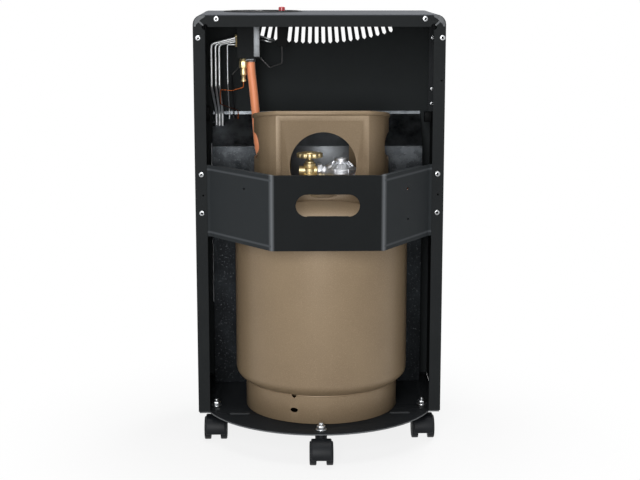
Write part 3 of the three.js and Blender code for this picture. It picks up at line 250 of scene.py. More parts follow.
def add_prism(bm, outline, low, high, axis="Z", bevel=0.0):
    """Adds a prism from an outline in millimetres, drawn in the plane square to the axis."""
    def place(a, b, c):
        return {"Z": at(a, b, c), "Y": at(a, c, b), "X": at(c, a, b)}[axis]

    start = len(bm.edges)
    bottom = [bm.verts.new(place(a, b, low)) for a, b in outline]
    top = [bm.verts.new(place(a, b, high)) for a, b in outline]
    faces = [bm.faces.new(bottom), bm.faces.new(top)]
    count = len(outline)
    for k in range(count):
        faces.append(bm.faces.new((bottom[k], bottom[(k + 1) % count], top[(k + 1) % count],
                                   top[k])))
    bmesh.ops.recalc_face_normals(bm, faces=faces)
    if bevel:
        bm.edges.ensure_lookup_table()
        rims = [e for e in bm.edges[start:] if e.calc_face_angle(0.0) > math.radians(30)]
        bmesh.ops.bevel(bm, geom=rims, offset=bevel * MM, segments=2, profile=0.5, affect="EDGES")


def round_outline(x0, x1, y0, y1, radius, steps=5):
    """A rectangle with round corners, as points."""
    corners = [(x1 - radius, y1 - radius, 0), (x0 + radius, y1 - radius, 90),
               (x0 + radius, y0 + radius, 180), (x1 - radius, y0 + radius, 270)]
    return [
        (x + radius * math.cos(math.radians(a + 90 * k / steps)),
         y + radius * math.sin(math.radians(a + 90 * k / steps)))
        for x, y, a in corners for k in range(steps + 1)
    ]


print("mesh helpers ready")

# %% [markdown]
# ## Colours and shader nodes
#
# A colour is written as the hex code that a paint maker gives, which is in sRGB. Shaders
# count in linear light, so one function turns one into the other. One more function adds a
# shader node with its settings and its links, so each material below reads as a short list
# of what happens to the surface.

# %% Colour and node helpers
def linear(code, alpha=1.0):
    """An sRGB hex colour as linear red, green, blue and alpha."""
    parts = [((code >> shift) & 255) / 255 for shift in (16, 8, 0)]
    return (*[p / 12.92 if p <= 0.04045 else ((p + 0.055) / 1.055) ** 2.4 for p in parts], alpha)


def feed(tree, node, inputs):
    """Sets a node's inputs: each is a value, or an output of another node to link."""
    for key, value in inputs.items():
        socket = node.inputs[key]
        if isinstance(value, bpy.types.NodeSocket):
            tree.links.new(value, socket)
        else:
            socket.default_value = value


def add(tree, kind, inputs=None, **settings):
    """Adds one node with its settings and its inputs."""
    node = tree.nodes.new(kind)
    for key, value in settings.items():
        setattr(node, key, value)
    feed(tree, node, inputs or {})
    return node


def new_material(name, colour, rough, metallic=0.0, **sockets):
    """A material with its principled shader set; returns the material, its tree and the shader."""
    made = bpy.data.materials.new(name)
    made.use_nodes = True
    made.diffuse_color = linear(colour)
    shader = made.node_tree.nodes["Principled BSDF"]
    feed(made.node_tree, shader, {"Base Color": linear(colour), "Roughness": rough,
                                  "Metallic": metallic})
    feed(made.node_tree, shader, {key.replace("_", " "): value for key, value in sockets.items()})
    return made, made.node_tree, shader


def object_place(tree, scale=(1, 1, 1)):
    """The piece's own coordinates in metres, stretched by a mapping."""
    coordinates = add(tree, "ShaderNodeTexCoord")
    return add(tree, "ShaderNodeMapping", {"Vector": coordinates.outputs["Object"],
                                           "Scale": scale}).outputs["Vector"]


def per_mm(size):
    """The texture scale that gives a pattern of this size in millimetres."""
    return 1000.0 / size


def finish_skin(tree, shader, colour, changes, rough, skin, depth_mm, strength=0.2):
    """Joins a surface up: its colour, changed step by step where a pattern lies between two
    limits, its uneven roughness, and the small relief of its skin."""
    shade_of = linear(colour)
    for pattern, low, high, to in changes:
        share = add(tree, "ShaderNodeMapRange",
                    {"Value": pattern, "From Min": low, "From Max": high})
        layer = add(tree, "ShaderNodeMix", {0: share.outputs["Result"], 6: shade_of,
                                            7: linear(to)}, data_type="RGBA")
        shade_of = layer.outputs[2]
    pattern, smooth, dull = rough
    uneven = add(tree, "ShaderNodeMapRange", {"Value": pattern, "To Min": smooth, "To Max": dull})
    relief = add(tree, "ShaderNodeBump", {"Height": skin, "Strength": strength,
                                          "Distance": depth_mm * MM})
    feed(tree, shader, {"Base Color": shade_of, "Roughness": uneven.outputs["Result"],
                        "Normal": relief.outputs["Normal"]})


print("a mid grey in linear light:", round(linear(0x808080)[0], 3))

# %% [markdown]
# ## Black powder coat
#
# The cabinet, its flanges, rails, floor plate and guard band are cold-rolled steel sheet,
# dipped and then powder coated in satin black. Powder flows out into a faintly pebbled skin,
# the orange peel, about 2 mm from one bump to the next. Its roughness
# is not quite even. It could be one flat black, but then large sheets look like card, so
# faint clouds and specks are laid over it.

# %% Powder-coat material
def powder_coat(name, colour, rough, painted_tones=None):
    """A black coat; its last argument adds places of another tone, such as painted highlights and painted sheen, as
    (pattern, low, high, colour).
    """
    made, tree, shader = new_material(name, colour, rough, Specular_IOR_Level=0.06)
    place = object_place(tree)
    cloudy = add(tree, "ShaderNodeTexNoise", {"Vector": place, "Scale": per_mm(60),
                                              "Detail": 3.0}).outputs["Fac"]
    speck = add(tree, "ShaderNodeTexNoise", {"Vector": place, "Scale": per_mm(0.9),
                                             "Detail": 2.0}).outputs["Fac"]
    peel = add(tree, "ShaderNodeTexNoise", {"Vector": place, "Scale": per_mm(2.0),
                                            "Detail": 2.0}).outputs["Fac"]
    changes = [(cloudy, 0.35, 0.7, colour + 0x030303), (speck, 0.62, 0.78, colour + 0x060606)]
    changes += painted_tones(tree, place) if painted_tones else []
    finish_skin(tree, shader, colour, changes, (cloudy, rough - 0.05, rough + 0.07), peel, 0.12)
    return made


black_coat = powder_coat("satin black powder coat", 0x1D1F20, 0.6)
# A lighter copy of the black coat, as painted light on the inside of the front sheet.
front_coat = powder_coat("satin black powder coat, front sheet", 0x222526, 0.6)
# Heights of the painted highlights on the floor plate's rim and ribs.
RIM_LOW, RIM_HIGH, RIB_FROM = 50.8, 52.4, 54.8


def rim_and_rib_highlights(tree, place):
    """Painted highlights: a pale line along the floor plate's rim and paler ribs, standing in for light caught on
    those edges.
    """
    height = add(tree, "ShaderNodeSeparateXYZ", {"Vector": place}).outputs["Z"]
    above = add(tree, "ShaderNodeMath", {0: height, 1: RIM_LOW * MM},
                operation="GREATER_THAN").outputs[0]
    below = add(tree, "ShaderNodeMath", {0: height, 1: RIM_HIGH * MM},
                operation="LESS_THAN").outputs[0]
    rim = add(tree, "ShaderNodeMath", {0: above, 1: below}, operation="MULTIPLY").outputs[0]
    return [(rim, 0.0, 1.0, 0x6C6E70), (height, RIB_FROM * MM, (RIB_FROM + 0.5) * MM, 0x3C3E40)]


# Heights over which the top sheet turns grey, as a painted sheen.
TOP_SHEEN_FROM, TOP_SHEEN_FULL = 733.0, 734.4


def top_painted_sheen(tree, place):
    """Painted sheen: the flat top sheet is made greyer than the sides, standing in for light it reflects at a low
    angle.
    """
    height = add(tree, "ShaderNodeSeparateXYZ", {"Vector": place}).outputs["Z"]
    return [(height, TOP_SHEEN_FROM * MM, TOP_SHEEN_FULL * MM, 0x42454A)]


floor_coat = powder_coat("satin black powder coat, floor plate", 0x1D1F21, 0.5, rim_and_rib_highlights)
# A lighter copy of the black coat, as painted light on the side rails.
rail_coat = powder_coat("satin black powder coat, side rails", 0x232527, 0.55)
wrap_coat = powder_coat("satin black powder coat, cabinet", 0x1F2122, 0.6, top_painted_sheen)
print("powder coats:", black_coat.name, "/", front_coat.name, "/", floor_coat.name, "/",
      wrap_coat.name)

# %% [markdown]
# ## The bottle's bronze enamel
#
# Gas bottles are blasted and sprayed with one coat of enamel that holds fine aluminium
# flakes. From a step away the paint looks khaki to bronze, with a broad soft highlight. Faint
# paler streaks run round the body; rub marks from rolling are a guess at the cause.

# %% Bottle enamel
def bottle_enamel(name, colour, rough):
    made, tree, shader = new_material(name, colour, rough, 0.12, Specular_IOR_Level=0.26,
                                      Coat_Weight=0.05, Coat_Roughness=0.3)
    place = object_place(tree)
    cloudy = add(tree, "ShaderNodeTexNoise", {"Vector": place, "Scale": per_mm(90),
                                              "Detail": 4.0}).outputs["Fac"]
    flakes = add(tree, "ShaderNodeTexVoronoi",
                 {"Vector": place, "Scale": per_mm(0.8)}).outputs["Distance"]
    rubbed = add(tree, "ShaderNodeTexNoise", {"Vector": object_place(tree, (0.4, 0.4, 6.0)),
                                              "Scale": per_mm(14),
                                              "Detail": 5.0, "Roughness": 0.7}).outputs["Fac"]
    dimples = add(tree, "ShaderNodeTexNoise", {"Vector": place, "Scale": per_mm(3.0),
                                               "Detail": 2.0}).outputs["Fac"]
    changes = [(cloudy, 0.3, 0.75, colour - 0x0A0A08), (flakes, 0.5, 0.9, colour + 0x0C0C0C),
               (rubbed, 0.66, 0.82, 0x9C8A70)]
    finish_skin(tree, shader, colour, changes, (rubbed, rough - 0.06, rough + 0.12), dimples, 0.15,
                0.12)
    return made


bottle_paint = bottle_enamel("bronze bottle enamel", 0x84725A, 0.42)
print("bottle paint:", bottle_paint.name)

# %% [markdown]
# ## Galvanised sheet
#
# The heat shield is left bare. Hot-dip zinc freezes in flat crystals, the spangle, about 9
# mm across, and each crystal mirrors the light a little differently. Here it looks dull: grey
# clouds lie over the crystals, with small bright specks left open. Its roof is painted
# lighter, as painted light from above; low down the sheet is painted darker, as painted
# shade; and a pale patch behind the bottle's tap is a painted highlight. Heat, dust and wiping hands would explain
# that, but the cause is a guess; the tones are set by place to match what is seen.

# %% Galvanised sheet
# Heights and a spot for painted light and shade on the shield: a lighter roof, painted shade towards the bottom, and
# a painted highlight behind the tap.
ROOF_FROM, SHADED_FROM, SHADED_BELOW = 494, 470, 400
HIGHLIGHT_SPOT, HIGHLIGHT_IN, HIGHLIGHT_OUT = Vector((15, 0, 445)) * MM, 40, 95


def galvanised(name, colour, rough, spangle=9.0):
    made, tree, shader = new_material(name, colour, rough, 1.0)
    place = object_place(tree)
    drift = add(tree, "ShaderNodeTexNoise", {"Vector": place, "Scale": per_mm(9), "Detail": 3.0})
    wavy = add(tree, "ShaderNodeMix", {0: 0.02, 6: place, 7: drift.outputs["Color"]},
               data_type="RGBA").outputs[2]
    crystal = add(tree, "ShaderNodeTexVoronoi",
                  {"Vector": wavy, "Scale": per_mm(spangle)}).outputs["Color"]
    tone = add(tree, "ShaderNodeSeparateColor", {"Color": crystal}).outputs["Red"]
    cloud = add(tree, "ShaderNodeTexNoise", {"Vector": place, "Scale": per_mm(45), "Detail": 5.0,
                                             "Roughness": 0.65}).outputs["Fac"]
    bare = add(tree, "ShaderNodeTexNoise", {"Vector": place, "Scale": per_mm(4), "Detail": 4.0,
                                            "Roughness": 0.75}).outputs["Fac"]
    height = add(tree, "ShaderNodeSeparateXYZ", {"Vector": place}).outputs["Z"]
    changes = [(tone, 0.0, 1.0, colour + 0x121212),
               # Painted light: the roof is lighter. Painted shade: the sheet darkens towards the bottom.
               (height, ROOF_FROM * MM, (ROOF_FROM + 1) * MM, 0x6A6E72),
               (height, SHADED_FROM * MM, SHADED_BELOW * MM, 0x1D1F21),
               (cloud, 0.42, 0.7, colour - 0x121212), (bare, 0.58, 0.76, colour + 0x2C2C2C)]
    # Painted highlight: a paler patch on the shield behind the bottle's tap.
    apart = add(tree, "ShaderNodeVectorMath", {0: object_place(tree, (1, 0, 1)), 1: HIGHLIGHT_SPOT},
                operation="DISTANCE")
    changes.append((apart.outputs["Value"], HIGHLIGHT_OUT * MM, HIGHLIGHT_IN * MM, 0x85898D))
    finish_skin(tree, shader, colour, changes, (tone, rough - 0.04, rough + 0.06), cloud, 0.3, 0.1)
    return made


spangled_zinc = galvanised("hot-dip galvanised sheet", 0x3A3D40, 0.36)
print("shield:", spangled_zinc.name)

# %% [markdown]
# ## Turned, drawn and cast metals
#
# Screws and nuts are zinc plated, so they are bright with a soft grain. The valve is turned
# from brass bar: fine rings stay from the tool. The burner pipes are drawn aluminium, with
# faint lines along them. The regulator and the tap are zinc alloy castings that were tumbled,
# which leaves a grainy satin skin. The reflector is polished stainless steel.

# %% Metal materials
# Near black, painted into screw recesses as painted shade.
RECESS_SHADE = 0x0E0E0E


def metal(name, colour, rough, grain, stretch=(1, 1, 1), depth=0.04, dirt=0x2C2A26, dirty=0.74,
          marked=None):
    """A bare metal: a grain of so many millimetres, perhaps drawn out one way, and some grime;
    marked names a mesh attribute that is 1 where a recess is painted near black, as painted shade."""
    made, tree, shader = new_material(name, colour, rough, 1.0)
    fine = add(tree, "ShaderNodeTexNoise", {"Vector": object_place(tree, stretch),
                                            "Scale": per_mm(grain),
                                            "Detail": 4.0, "Roughness": 0.6}).outputs["Fac"]
    cloud = add(tree, "ShaderNodeTexNoise", {"Vector": object_place(tree), "Scale": per_mm(11),
                                             "Detail": 3.0}).outputs["Fac"]
    changes = [(fine, 0.7, 0.3, colour - 0x101010), (cloud, 0.56, dirty + 0.2, dirt)]
    # Faces marked as a recess are painted near black, as painted shade.
    if marked:
        hollow = add(tree, "ShaderNodeAttribute", attribute_name=marked).outputs["Fac"]
        changes.append((hollow, 0.0, 1.0, RECESS_SHADE))
    finish_skin(tree, shader, colour, changes, (fine, rough - 0.06, rough + 0.1), fine, depth)
    return made


zinc_plate = metal("bright zinc plate", 0xC2C4C6, 0.3, 0.8)
screw_zinc = metal("zinc-plated screw", 0xB4B6B8, 0.3, 0.8, marked="recess")
dull_zinc = metal("zinc-plated sheet, dulled", 0x8A8D90, 0.5, 3.0, dirty=0.9)
turned_brass = metal("turned brass", 0xF4E0AE, 0.46, 0.7, (1, 1, 8), dirt=0x7A6230, dirty=0.9)
drawn_aluminium = metal("drawn aluminium tube", 0xE8EAEC, 0.46, 0.6, (3, 3, 0.2), dirty=1.0)
cast_alloy = metal("tumbled zinc alloy casting", 0xE2E4E8, 0.44, 1.2, depth=0.12, dirt=0x66686C,
                   dirty=0.9)
polished_steel = metal("polished stainless steel", 0xDDDFE0, 0.12, 2.5, (1, 1, 0.1), depth=0.02,
                       dirty=1.0)
chromed_wire = metal("nickel-plated wire", 0xD8D8D4, 0.16, 1.0, depth=0.02, dirty=0.9)
copper_tube = metal("drawn copper capillary", 0xA0562E, 0.38, 0.7, dirt=0x3A1C0C)
print("metals:", 9)

# %% [markdown]
# ## Plastics, rubber, ceramic
#
# The casters and the tap's recess are moulded nylon and polypropylene with a spark-eroded
# texture. The button is glossy ABS. The hose is an extruded rubber with a faint bloom. The
# burner plaques are pressed ceramic, with holes of about 1.2 mm in rows 2.6 mm apart, which
# are drawn on the surface because they lie below what a mesh this size should carry.

# %% Plastic, rubber and ceramic materials
def moulded(name, colour, rough, grain_mm, strength=0.2, **sockets):
    made, tree, shader = new_material(name, colour, rough, 0.0, **sockets)
    place = object_place(tree)
    fine = add(tree, "ShaderNodeTexNoise", {"Vector": place, "Scale": per_mm(grain_mm),
                                            "Detail": 3.0}).outputs["Fac"]
    cloud = add(tree, "ShaderNodeTexNoise", {"Vector": place, "Scale": per_mm(18),
                                             "Detail": 2.0}).outputs["Fac"]
    changes = [(cloud, 0.7, 0.35, colour - 0x050505), (fine, 0.4, 0.2, colour - 0x080808)]
    finish_skin(tree, shader, colour, changes, (cloud, rough - 0.05, rough + 0.08), fine, 0.08,
                strength)
    return made


caster_nylon = moulded("black nylon, spark-eroded", 0x16181B, 0.46, 0.9, Specular_IOR_Level=0.15)
recess_plastic = moulded("black polypropylene", 0x1A1B1D, 0.5, 0.7, Specular_IOR_Level=0.3)
button_plastic = moulded("red ABS, glossy", 0xB01C28, 0.22, 2.5, 0.06, Coat_Weight=0.4)
igniter_plastic = moulded("black phenolic moulding", 0x0D0E0F, 0.5, 1.4, Specular_IOR_Level=0.06)
hose_rubber = moulded("orange hose rubber", 0xFFA274, 0.42, 1.6, 0.1, Sheen_Weight=0.2,
                      Sheen_Roughness=0.4)
lead_silicone = moulded("black silicone lead", 0x101112, 0.35, 1.2)
porcelain = moulded("glazed electrode porcelain", 0xE4DFD2, 0.2, 2.0, 0.05, Coat_Weight=0.3)
print("moulded materials:", 7)

# %% Burner plaque
def plaque_ceramic(name, colour):
    made, tree, shader = new_material(name, colour, 0.9)
    flat = object_place(tree, (1, 0.001, 1))
    holes = add(tree, "ShaderNodeTexVoronoi", {"Vector": flat, "Scale": per_mm(2.6),
                                               "Randomness": 0.0}).outputs["Distance"]
    cloud = add(tree, "ShaderNodeTexNoise", {"Vector": object_place(tree), "Scale": per_mm(22),
                                             "Detail": 4.0}).outputs["Fac"]
    solid = add(tree, "ShaderNodeMapRange", {"Value": holes, "From Min": 0.20,
                                             "From Max": 0.27}).outputs["Result"]
    changes = [(cloud, 0.35, 0.75, 0xC7AD8C), (holes, 0.27, 0.20, 0x2A2018)]
    finish_skin(tree, shader, colour, changes, (cloud, 0.84, 0.94), solid, 0.8, 0.8)
    return made


burner_ceramic = plaque_ceramic("pressed burner ceramic", 0xDDD2BE)
print("burner plaque:", burner_ceramic.name)

# %% [markdown]
# ## Floor, white background and soft light
#
# Product photographs of this kind are taken on a white sweep. The floor is a large plane
# that shows white to the camera and in reflections, but stays a pale grey for the light that
# bounces off it, so it does not wash out the black sheet from below. The background of the
# world does the same. Six broad lamps light the heater: the key stands behind the camera and
# high up, a smaller one below it looks straight into the open cabinet, two weak ones stand at
# the sides, one hangs above, and one lights the side that the camera does not see.

# %% Floor
def white_where_seen(tree, rays):
    """1 for the kinds of ray named, such as camera rays, and 0 for all others."""
    path = add(tree, "ShaderNodeLightPath")
    seen = path.outputs[rays[0]]
    for kind in rays[1:]:
        seen = add(tree, "ShaderNodeMath", {0: seen, 1: path.outputs[kind]},
                   operation="MAXIMUM").outputs[0]
    return seen


SWEEP_STARTS, SWEEP_ENDS = 0.26, 0.62
SHADOW_VEIL = 0.84


def floor_material():
    """Lit white paper near the heater, fading further out into the background's white."""
    made, tree, shader = new_material("white studio paper", 0xDCDCDC, 0.9)
    shader.inputs["Specular IOR Level"].default_value = 0.1
    place = add(tree, "ShaderNodeTexCoord").outputs["Object"]
    far = add(tree, "ShaderNodeVectorMath", {0: place}, operation="LENGTH").outputs["Value"]
    fade = add(tree, "ShaderNodeMapRange", {"Value": far, "From Min": SWEEP_STARTS,
                                            "From Max": SWEEP_ENDS,
                                               "To Min": SHADOW_VEIL, "To Max": 1.0},
               interpolation_type="SMOOTHSTEP").outputs["Result"]
    seen = white_where_seen(tree, ["Is Camera Ray", "Is Glossy Ray", "Is Transmission Ray"])
    share = add(tree, "ShaderNodeMath", {0: fade, 1: seen}, operation="MULTIPLY").outputs[0]
    white = add(tree, "ShaderNodeEmission", {"Color": (1, 1, 1, 1), "Strength": 1.0})
    both = add(tree, "ShaderNodeMixShader", {0: share, 1: shader.outputs["BSDF"],
                                             2: white.outputs[0]})
    tree.links.new(both.outputs[0], tree.nodes["Material Output"].inputs["Surface"])
    return made


floor_bm = bmesh.new()
bmesh.ops.create_grid(floor_bm, x_segments=2, y_segments=2, size=6.0)
floor_mesh = bpy.data.meshes.new("studio_floor")
floor_bm.to_mesh(floor_mesh)
floor_bm.free()
floor_mesh.materials.append(floor_material())
floor = link("studio_floor", floor_mesh)
print("floor fades to white from", SWEEP_STARTS, "to", SWEEP_ENDS, "m")

# %% World
ROOM_LIGHT = 0.05
world = bpy.data.worlds.new("studio_world")
bpy.context.scene.world = world
world.use_nodes = True
background = world.node_tree.nodes["Background"]
background.inputs["Color"].default_value = (1.0, 1.0, 1.0, 1.0)
shown = white_where_seen(world.node_tree, ["Is Camera Ray", "Is Glossy Ray",
                                           "Is Transmission Ray"])
strength = add(world.node_tree, "ShaderNodeMapRange",
               {"Value": shown, "To Min": ROOM_LIGHT, "To Max": 1.0})
world.node_tree.links.new(strength.outputs["Result"], background.inputs["Strength"])
print("room light:", ROOM_LIGHT)

# %% Lamps
def softbox(name, place, target, width, height, power):
    data = bpy.data.lights.new(name, "AREA")
    data.shape = "RECTANGLE"
    data.size = width
    data.size_y = height
    data.energy = power
    lamp = bpy.data.objects.new(name, data)
    bpy.context.scene.collection.objects.link(lamp)
    lamp.location = place
    lamp.rotation_euler = (Vector(target) - Vector(place)).to_track_quat("-Z", "Y").to_euler()
    return lamp


softbox("key_softbox", (-0.48, -2.6, 1.45), (0, 0, 0.38), 1.0, 1.0, 36)
softbox("camera_softbox", (-0.2, -2.6, 0.72), (0, 0, 0.4), 0.7, 0.5, 20)
softbox("left_softbox", (-2.2, -1.0, 1.0), (0, 0, 0.4), 0.8, 1.4, 2.5)
softbox("right_softbox", (2.2, -0.8, 1.0), (0, 0, 0.4), 0.8, 1.4, 0.3)
softbox("overhead_softbox", (0.0, 0.1, 2.5), (0, 0, 0.4), 1.8, 1.2, 44)
softbox("front_softbox", (1.5, 2.3, 1.9), (0, 0, 0.4), 1.2, 1.2, 55)
bpy.context.scene.view_settings.view_transform = "Standard"

# %% [markdown]
# ## Sheet-metal pieces keep their CAD shape
#
# Sheet is folded and pressed, so its corners are never knife sharp: the bend and the powder
# coat round them to a few tenths of a millimetre. The CAD meshes are loose triangles, so a
# copy is merged, its flat triangles are joined into whole faces, and its sharp edges get a
# narrow bevel that catches the light. The CAD node stays behind for collision.

# %% Rounded copies
def evaluated_mesh(made):
    """A new mesh of an object with all its modifiers worked in."""
    depsgraph = bpy.context.evaluated_depsgraph_get()
    return bpy.data.meshes.new_from_object(made.evaluated_get(depsgraph))


def rounded_copy(node, material, edge_mm=0.5, body="cabinet", angle=30.0, name=None, segments=2):
    """A copy of a CAD node with its sharp edges rounded."""
    bm = bmesh.new()
    bm.from_mesh(nodes[node].data)
    bmesh.ops.remove_doubles(bm, verts=bm.verts, dist=2e-6)
    bmesh.ops.dissolve_limit(bm, angle_limit=math.radians(1.0), verts=bm.verts, edges=bm.edges)
    mesh = bpy.data.meshes.new(name or node + "_made")
    bm.to_mesh(mesh)
    bm.free()
    mesh.materials.clear()
    mesh.materials.append(material)
    made = link(name or node + "_made", mesh)
    shade(mesh, 40.0)
    if edge_mm:
        rounding = made.modifiers.new("rounded edges", "BEVEL")
        rounding.width = edge_mm * MM
        rounding.segments = segments
        rounding.limit_method = "ANGLE"
        rounding.angle_limit = math.radians(angle)
        rounding.use_clamp_overlap = True
        even = made.modifiers.new("flat faces stay flat", "WEIGHTED_NORMAL")
        even.keep_sharp = True
        finished = evaluated_mesh(made)
        made.modifiers.clear()
        made.data = finished
        bpy.data.meshes.remove(mesh)
    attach(made, body)
    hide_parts(node)
    return made


SHEET_PIECES = [
    ("cabinet_wrap", wrap_coat, 0.4), ("front_panel", front_coat, 0.4),
    ("left_side_rail", rail_coat, 0.4), ("right_side_rail", rail_coat, 0.4),
    ("valve_bracket", black_coat, 0.4), ("heat_shield", spangled_zinc, 0.25),
    ("burner_plenum_1", spangled_zinc, 0.4), ("burner_plenum_2", spangled_zinc, 0.4),
    ("burner_plenum_3", spangled_zinc, 0.4), ("reflector", polished_steel, 0.3),
    ("ceramic_plaque_1", burner_ceramic, 0.6), ("ceramic_plaque_2", burner_ceramic, 0.6),
    ("ceramic_plaque_3", burner_ceramic, 0.6),
]
for node, material, edge in SHEET_PIECES:
    made = rounded_copy(node, material, edge)
    print(made.name, len(made.data.polygons), "faces")

# %% [markdown]
# ## Cutting holes
#
# Press tools punch the holes of the collar, the foot ring and the caster hoods. A Boolean
# modifier does the same: a cutter is made as its own mesh, the difference is taken, and the
# result becomes a plain mesh again, so nothing live stays on the piece.

# %% Boolean helper
def cutter(fill):
    """A throw-away object made by a function that fills a bmesh."""
    bm = bmesh.new()
    fill(bm)
    bmesh.ops.recalc_face_normals(bm, faces=bm.faces)
    mesh = bpy.data.meshes.new("cutter")
    bm.to_mesh(mesh)
    bm.free()
    return link("cutter", mesh)


def carved(made, fills, operation="DIFFERENCE"):
    """Applies one Boolean for each fill and removes the cutters."""
    for fill in fills:
        tool = cutter(fill)
        step = made.modifiers.new("cut", "BOOLEAN")
        step.object = tool
        step.operation = operation
        step.solver = "EXACT"
        result = evaluated_mesh(made)
        made.modifiers.clear()
        old, made.data = made.data, result
        bpy.data.meshes.remove(old)
        bpy.data.objects.remove(tool)
    return made


def softened(made, edge_mm, angle=30.0, segments=2):
    """Applies a narrow bevel to the sharp edges of a piece."""
    step = made.modifiers.new("rounded edges", "BEVEL")
    step.width = edge_mm * MM
    step.segments = segments
    step.limit_method = "ANGLE"
    step.angle_limit = math.radians(angle)
    result = evaluated_mesh(made)
    made.modifiers.clear()
    old, made.data = made.data, result
    bpy.data.meshes.remove(old)
    shade(made.data, 40.0)
    return made


def box_outline(x0, x1, y0, y1):
    return [(x0, y0), (x1, y0), (x1, y1), (x0, y1)]


print("cutting helpers ready")

# %% [markdown]
# ## The floor plate
#
# The floor plate is a blank with a round back, pressed so that its edge turns down. On the
# real one the turned edge is short, so the lower part of the CAD rim is cut away and the
# casters' necks show under it, as in the photograph.

# %% Floor plate
RIM_CUT = 50.2
floor_plate = rounded_copy("base_plate", floor_coat, 0)
carved(floor_plate, [lambda b: add_prism(b, box_outline(-230, 230, -180, 260), 40, RIM_CUT)])
softened(floor_plate, 0.4)
print("floor plate:", len(floor_plate.data.polygons), "faces")

# %% [markdown]
# ## The gas bottle
#
# A refillable bottle is two deep-drawn steel cups, welded round the middle, on a rolled foot
# ring, with a pressed collar round its tap. The body is spun from its outline here: a half
# ellipse for each dome and a straight wall between them. More sides than the CAD solid has
# give it a clean edge and an even highlight.

# %% Bottle body and foot ring
BOTTLE = (4, 53)
BOTTLE_RADIUS = 149
LOW_DOME = (125, 45)
HIGH_DOME = (388, 50)
NECK_RADIUS, NECK_TOP = 20, 446


def bottle_outline(inset, steps=24):
    reach = BOTTLE_RADIUS - inset
    turns = [math.pi / 2 * k / steps for k in range(steps + 1)]
    low = [(reach * math.sin(a), LOW_DOME[0] - (LOW_DOME[1] - inset) * math.cos(a)) for a in turns]
    high = [(reach * math.cos(a), HIGH_DOME[0] + (HIGH_DOME[1] - inset) * math.sin(a))
            for a in turns]
    return low, high


low_dome, high_dome = bottle_outline(0)
neck_foot = [p for p in high_dome if p[0] > NECK_RADIUS + 5]
shell_outline = [(0, low_dome[0][1]), *low_dome[1:], *neck_foot,
                 (NECK_RADIUS + 4, 436.5), (NECK_RADIUS + 1, 438), (NECK_RADIUS, 441),
                 (NECK_RADIUS, NECK_TOP - 1), (NECK_RADIUS - 1, NECK_TOP), (0, NECK_TOP)]
bm = bmesh.new()
add_turned(bm, shell_outline, (*BOTTLE, 0), 160)
bottle = piece_from("bottle_body", bm, bottle_paint)
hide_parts("cylinder_shell")

FOOT_RADIUS, FOOT_WALL, FOOT_LOW = 132, 3, 54.3
foot_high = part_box("cylinder_foot_ring")[1].z / MM
bm = bmesh.new()
add_turned(bm, [(FOOT_RADIUS - FOOT_WALL, FOOT_LOW + 1), (FOOT_RADIUS - 2, FOOT_LOW),
                (FOOT_RADIUS - 0.6, FOOT_LOW + 0.4),
                (FOOT_RADIUS, FOOT_LOW + 1.4), (FOOT_RADIUS, foot_high - 0.6),
                (FOOT_RADIUS - 0.6, foot_high),
                (FOOT_RADIUS - FOOT_WALL, foot_high)], (*BOTTLE, 0), 160)
foot = piece_from("bottle_foot_ring", bm, bottle_paint)
DRAIN = (-44.5, 77)
drain_rim = [(DRAIN[0] + 6.2 * math.cos(math.radians(10 * k)),
              DRAIN[1] + 4.2 * math.sin(math.radians(10 * k)))
             for k in range(36)]
NOTCH = [(DRAIN[0] - 4, foot_high + 3), (DRAIN[0] - 4, foot_high), (DRAIN[0], foot_high - 4.5),
         (DRAIN[0] + 4, foot_high),
         (DRAIN[0] + 4, foot_high + 3)]
carved(foot, [lambda b: add_prism(b, drain_rim, -90, -40, "Y"),
              lambda b: add_prism(b, NOTCH, -90, -40, "Y")])
shade(foot.data)
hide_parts("cylinder_foot_ring")
print("bottle:", len(bottle.data.polygons), "foot:", len(foot.data.polygons), "faces")

# %% [markdown]
# ## Weld bead between bottle and foot
#
# The foot ring is welded to the lower dome. The bead is a thin rounded ridge with the
# ripples of a welding torch, painted over. A ring of short overlapping blobs would be
# heavy, so one ring is swept with a radius that swells and shrinks along its way.

# %% Foot weld
def ring_route(radius, z, count):
    return [(BOTTLE[0] + radius * math.cos(2 * math.pi * k / count),
             BOTTLE[1] + radius * math.sin(2 * math.pi * k / count), z)
            for k in range(count + 1)]


bm = bmesh.new()
add_tube(bm, ring_route(FOOT_RADIUS - 0.6, foot_high + 1.0, 480),
         lambda t: 1.5 + 0.25 * math.sin(t * 240 * 2 * math.pi), 6, False)
foot_weld = piece_from("foot_weld_bead", bm, bottle_paint)
carved(foot_weld, [lambda b: add_prism(b, NOTCH, -90, -40, "Y")])
shade(foot_weld.data, 35.0)
print("weld:", len(foot_weld.data.polygons), "faces")

# %% [markdown]
# ## The bottle's collar
#
# The collar is one strip of 3 mm sheet, rolled round the tap with a flat panel at the back
# and its mouth open to the front. Hand slots are punched in its sides and a large round
# hole in its flat. Its top edge is rolled over a wire. It is drawn from above as an outline,
# raised, and then cut as the press would cut it.

# %% Collar
COLLAR_RADIUS, COLLAR_WALL, COLLAR_FLAT, MOUTH_HALF = 115.5, 3, 86, 52
COLLAR_TOP, COLLAR_SLOPE, RIM_RADIUS = 575, 0.151, 4.2
COLLAR_REAR = BOTTLE[1] - COLLAR_FLAT


def collar_line(inset, steps=64):
    radius, flat = COLLAR_RADIUS - inset, COLLAR_FLAT - inset
    mouth = math.acos(MOUTH_HALF / radius)
    end = -math.asin(flat / radius)
    turns = [mouth + (end - mouth) * k / steps for k in range(steps + 1)]
    right = [(BOTTLE[0] + radius * math.cos(a), BOTTLE[1] + radius * math.sin(a)) for a in turns]
    left = [(2 * BOTTLE[0] - x, y) for x, y in reversed(right)]
    return [*right, *left]


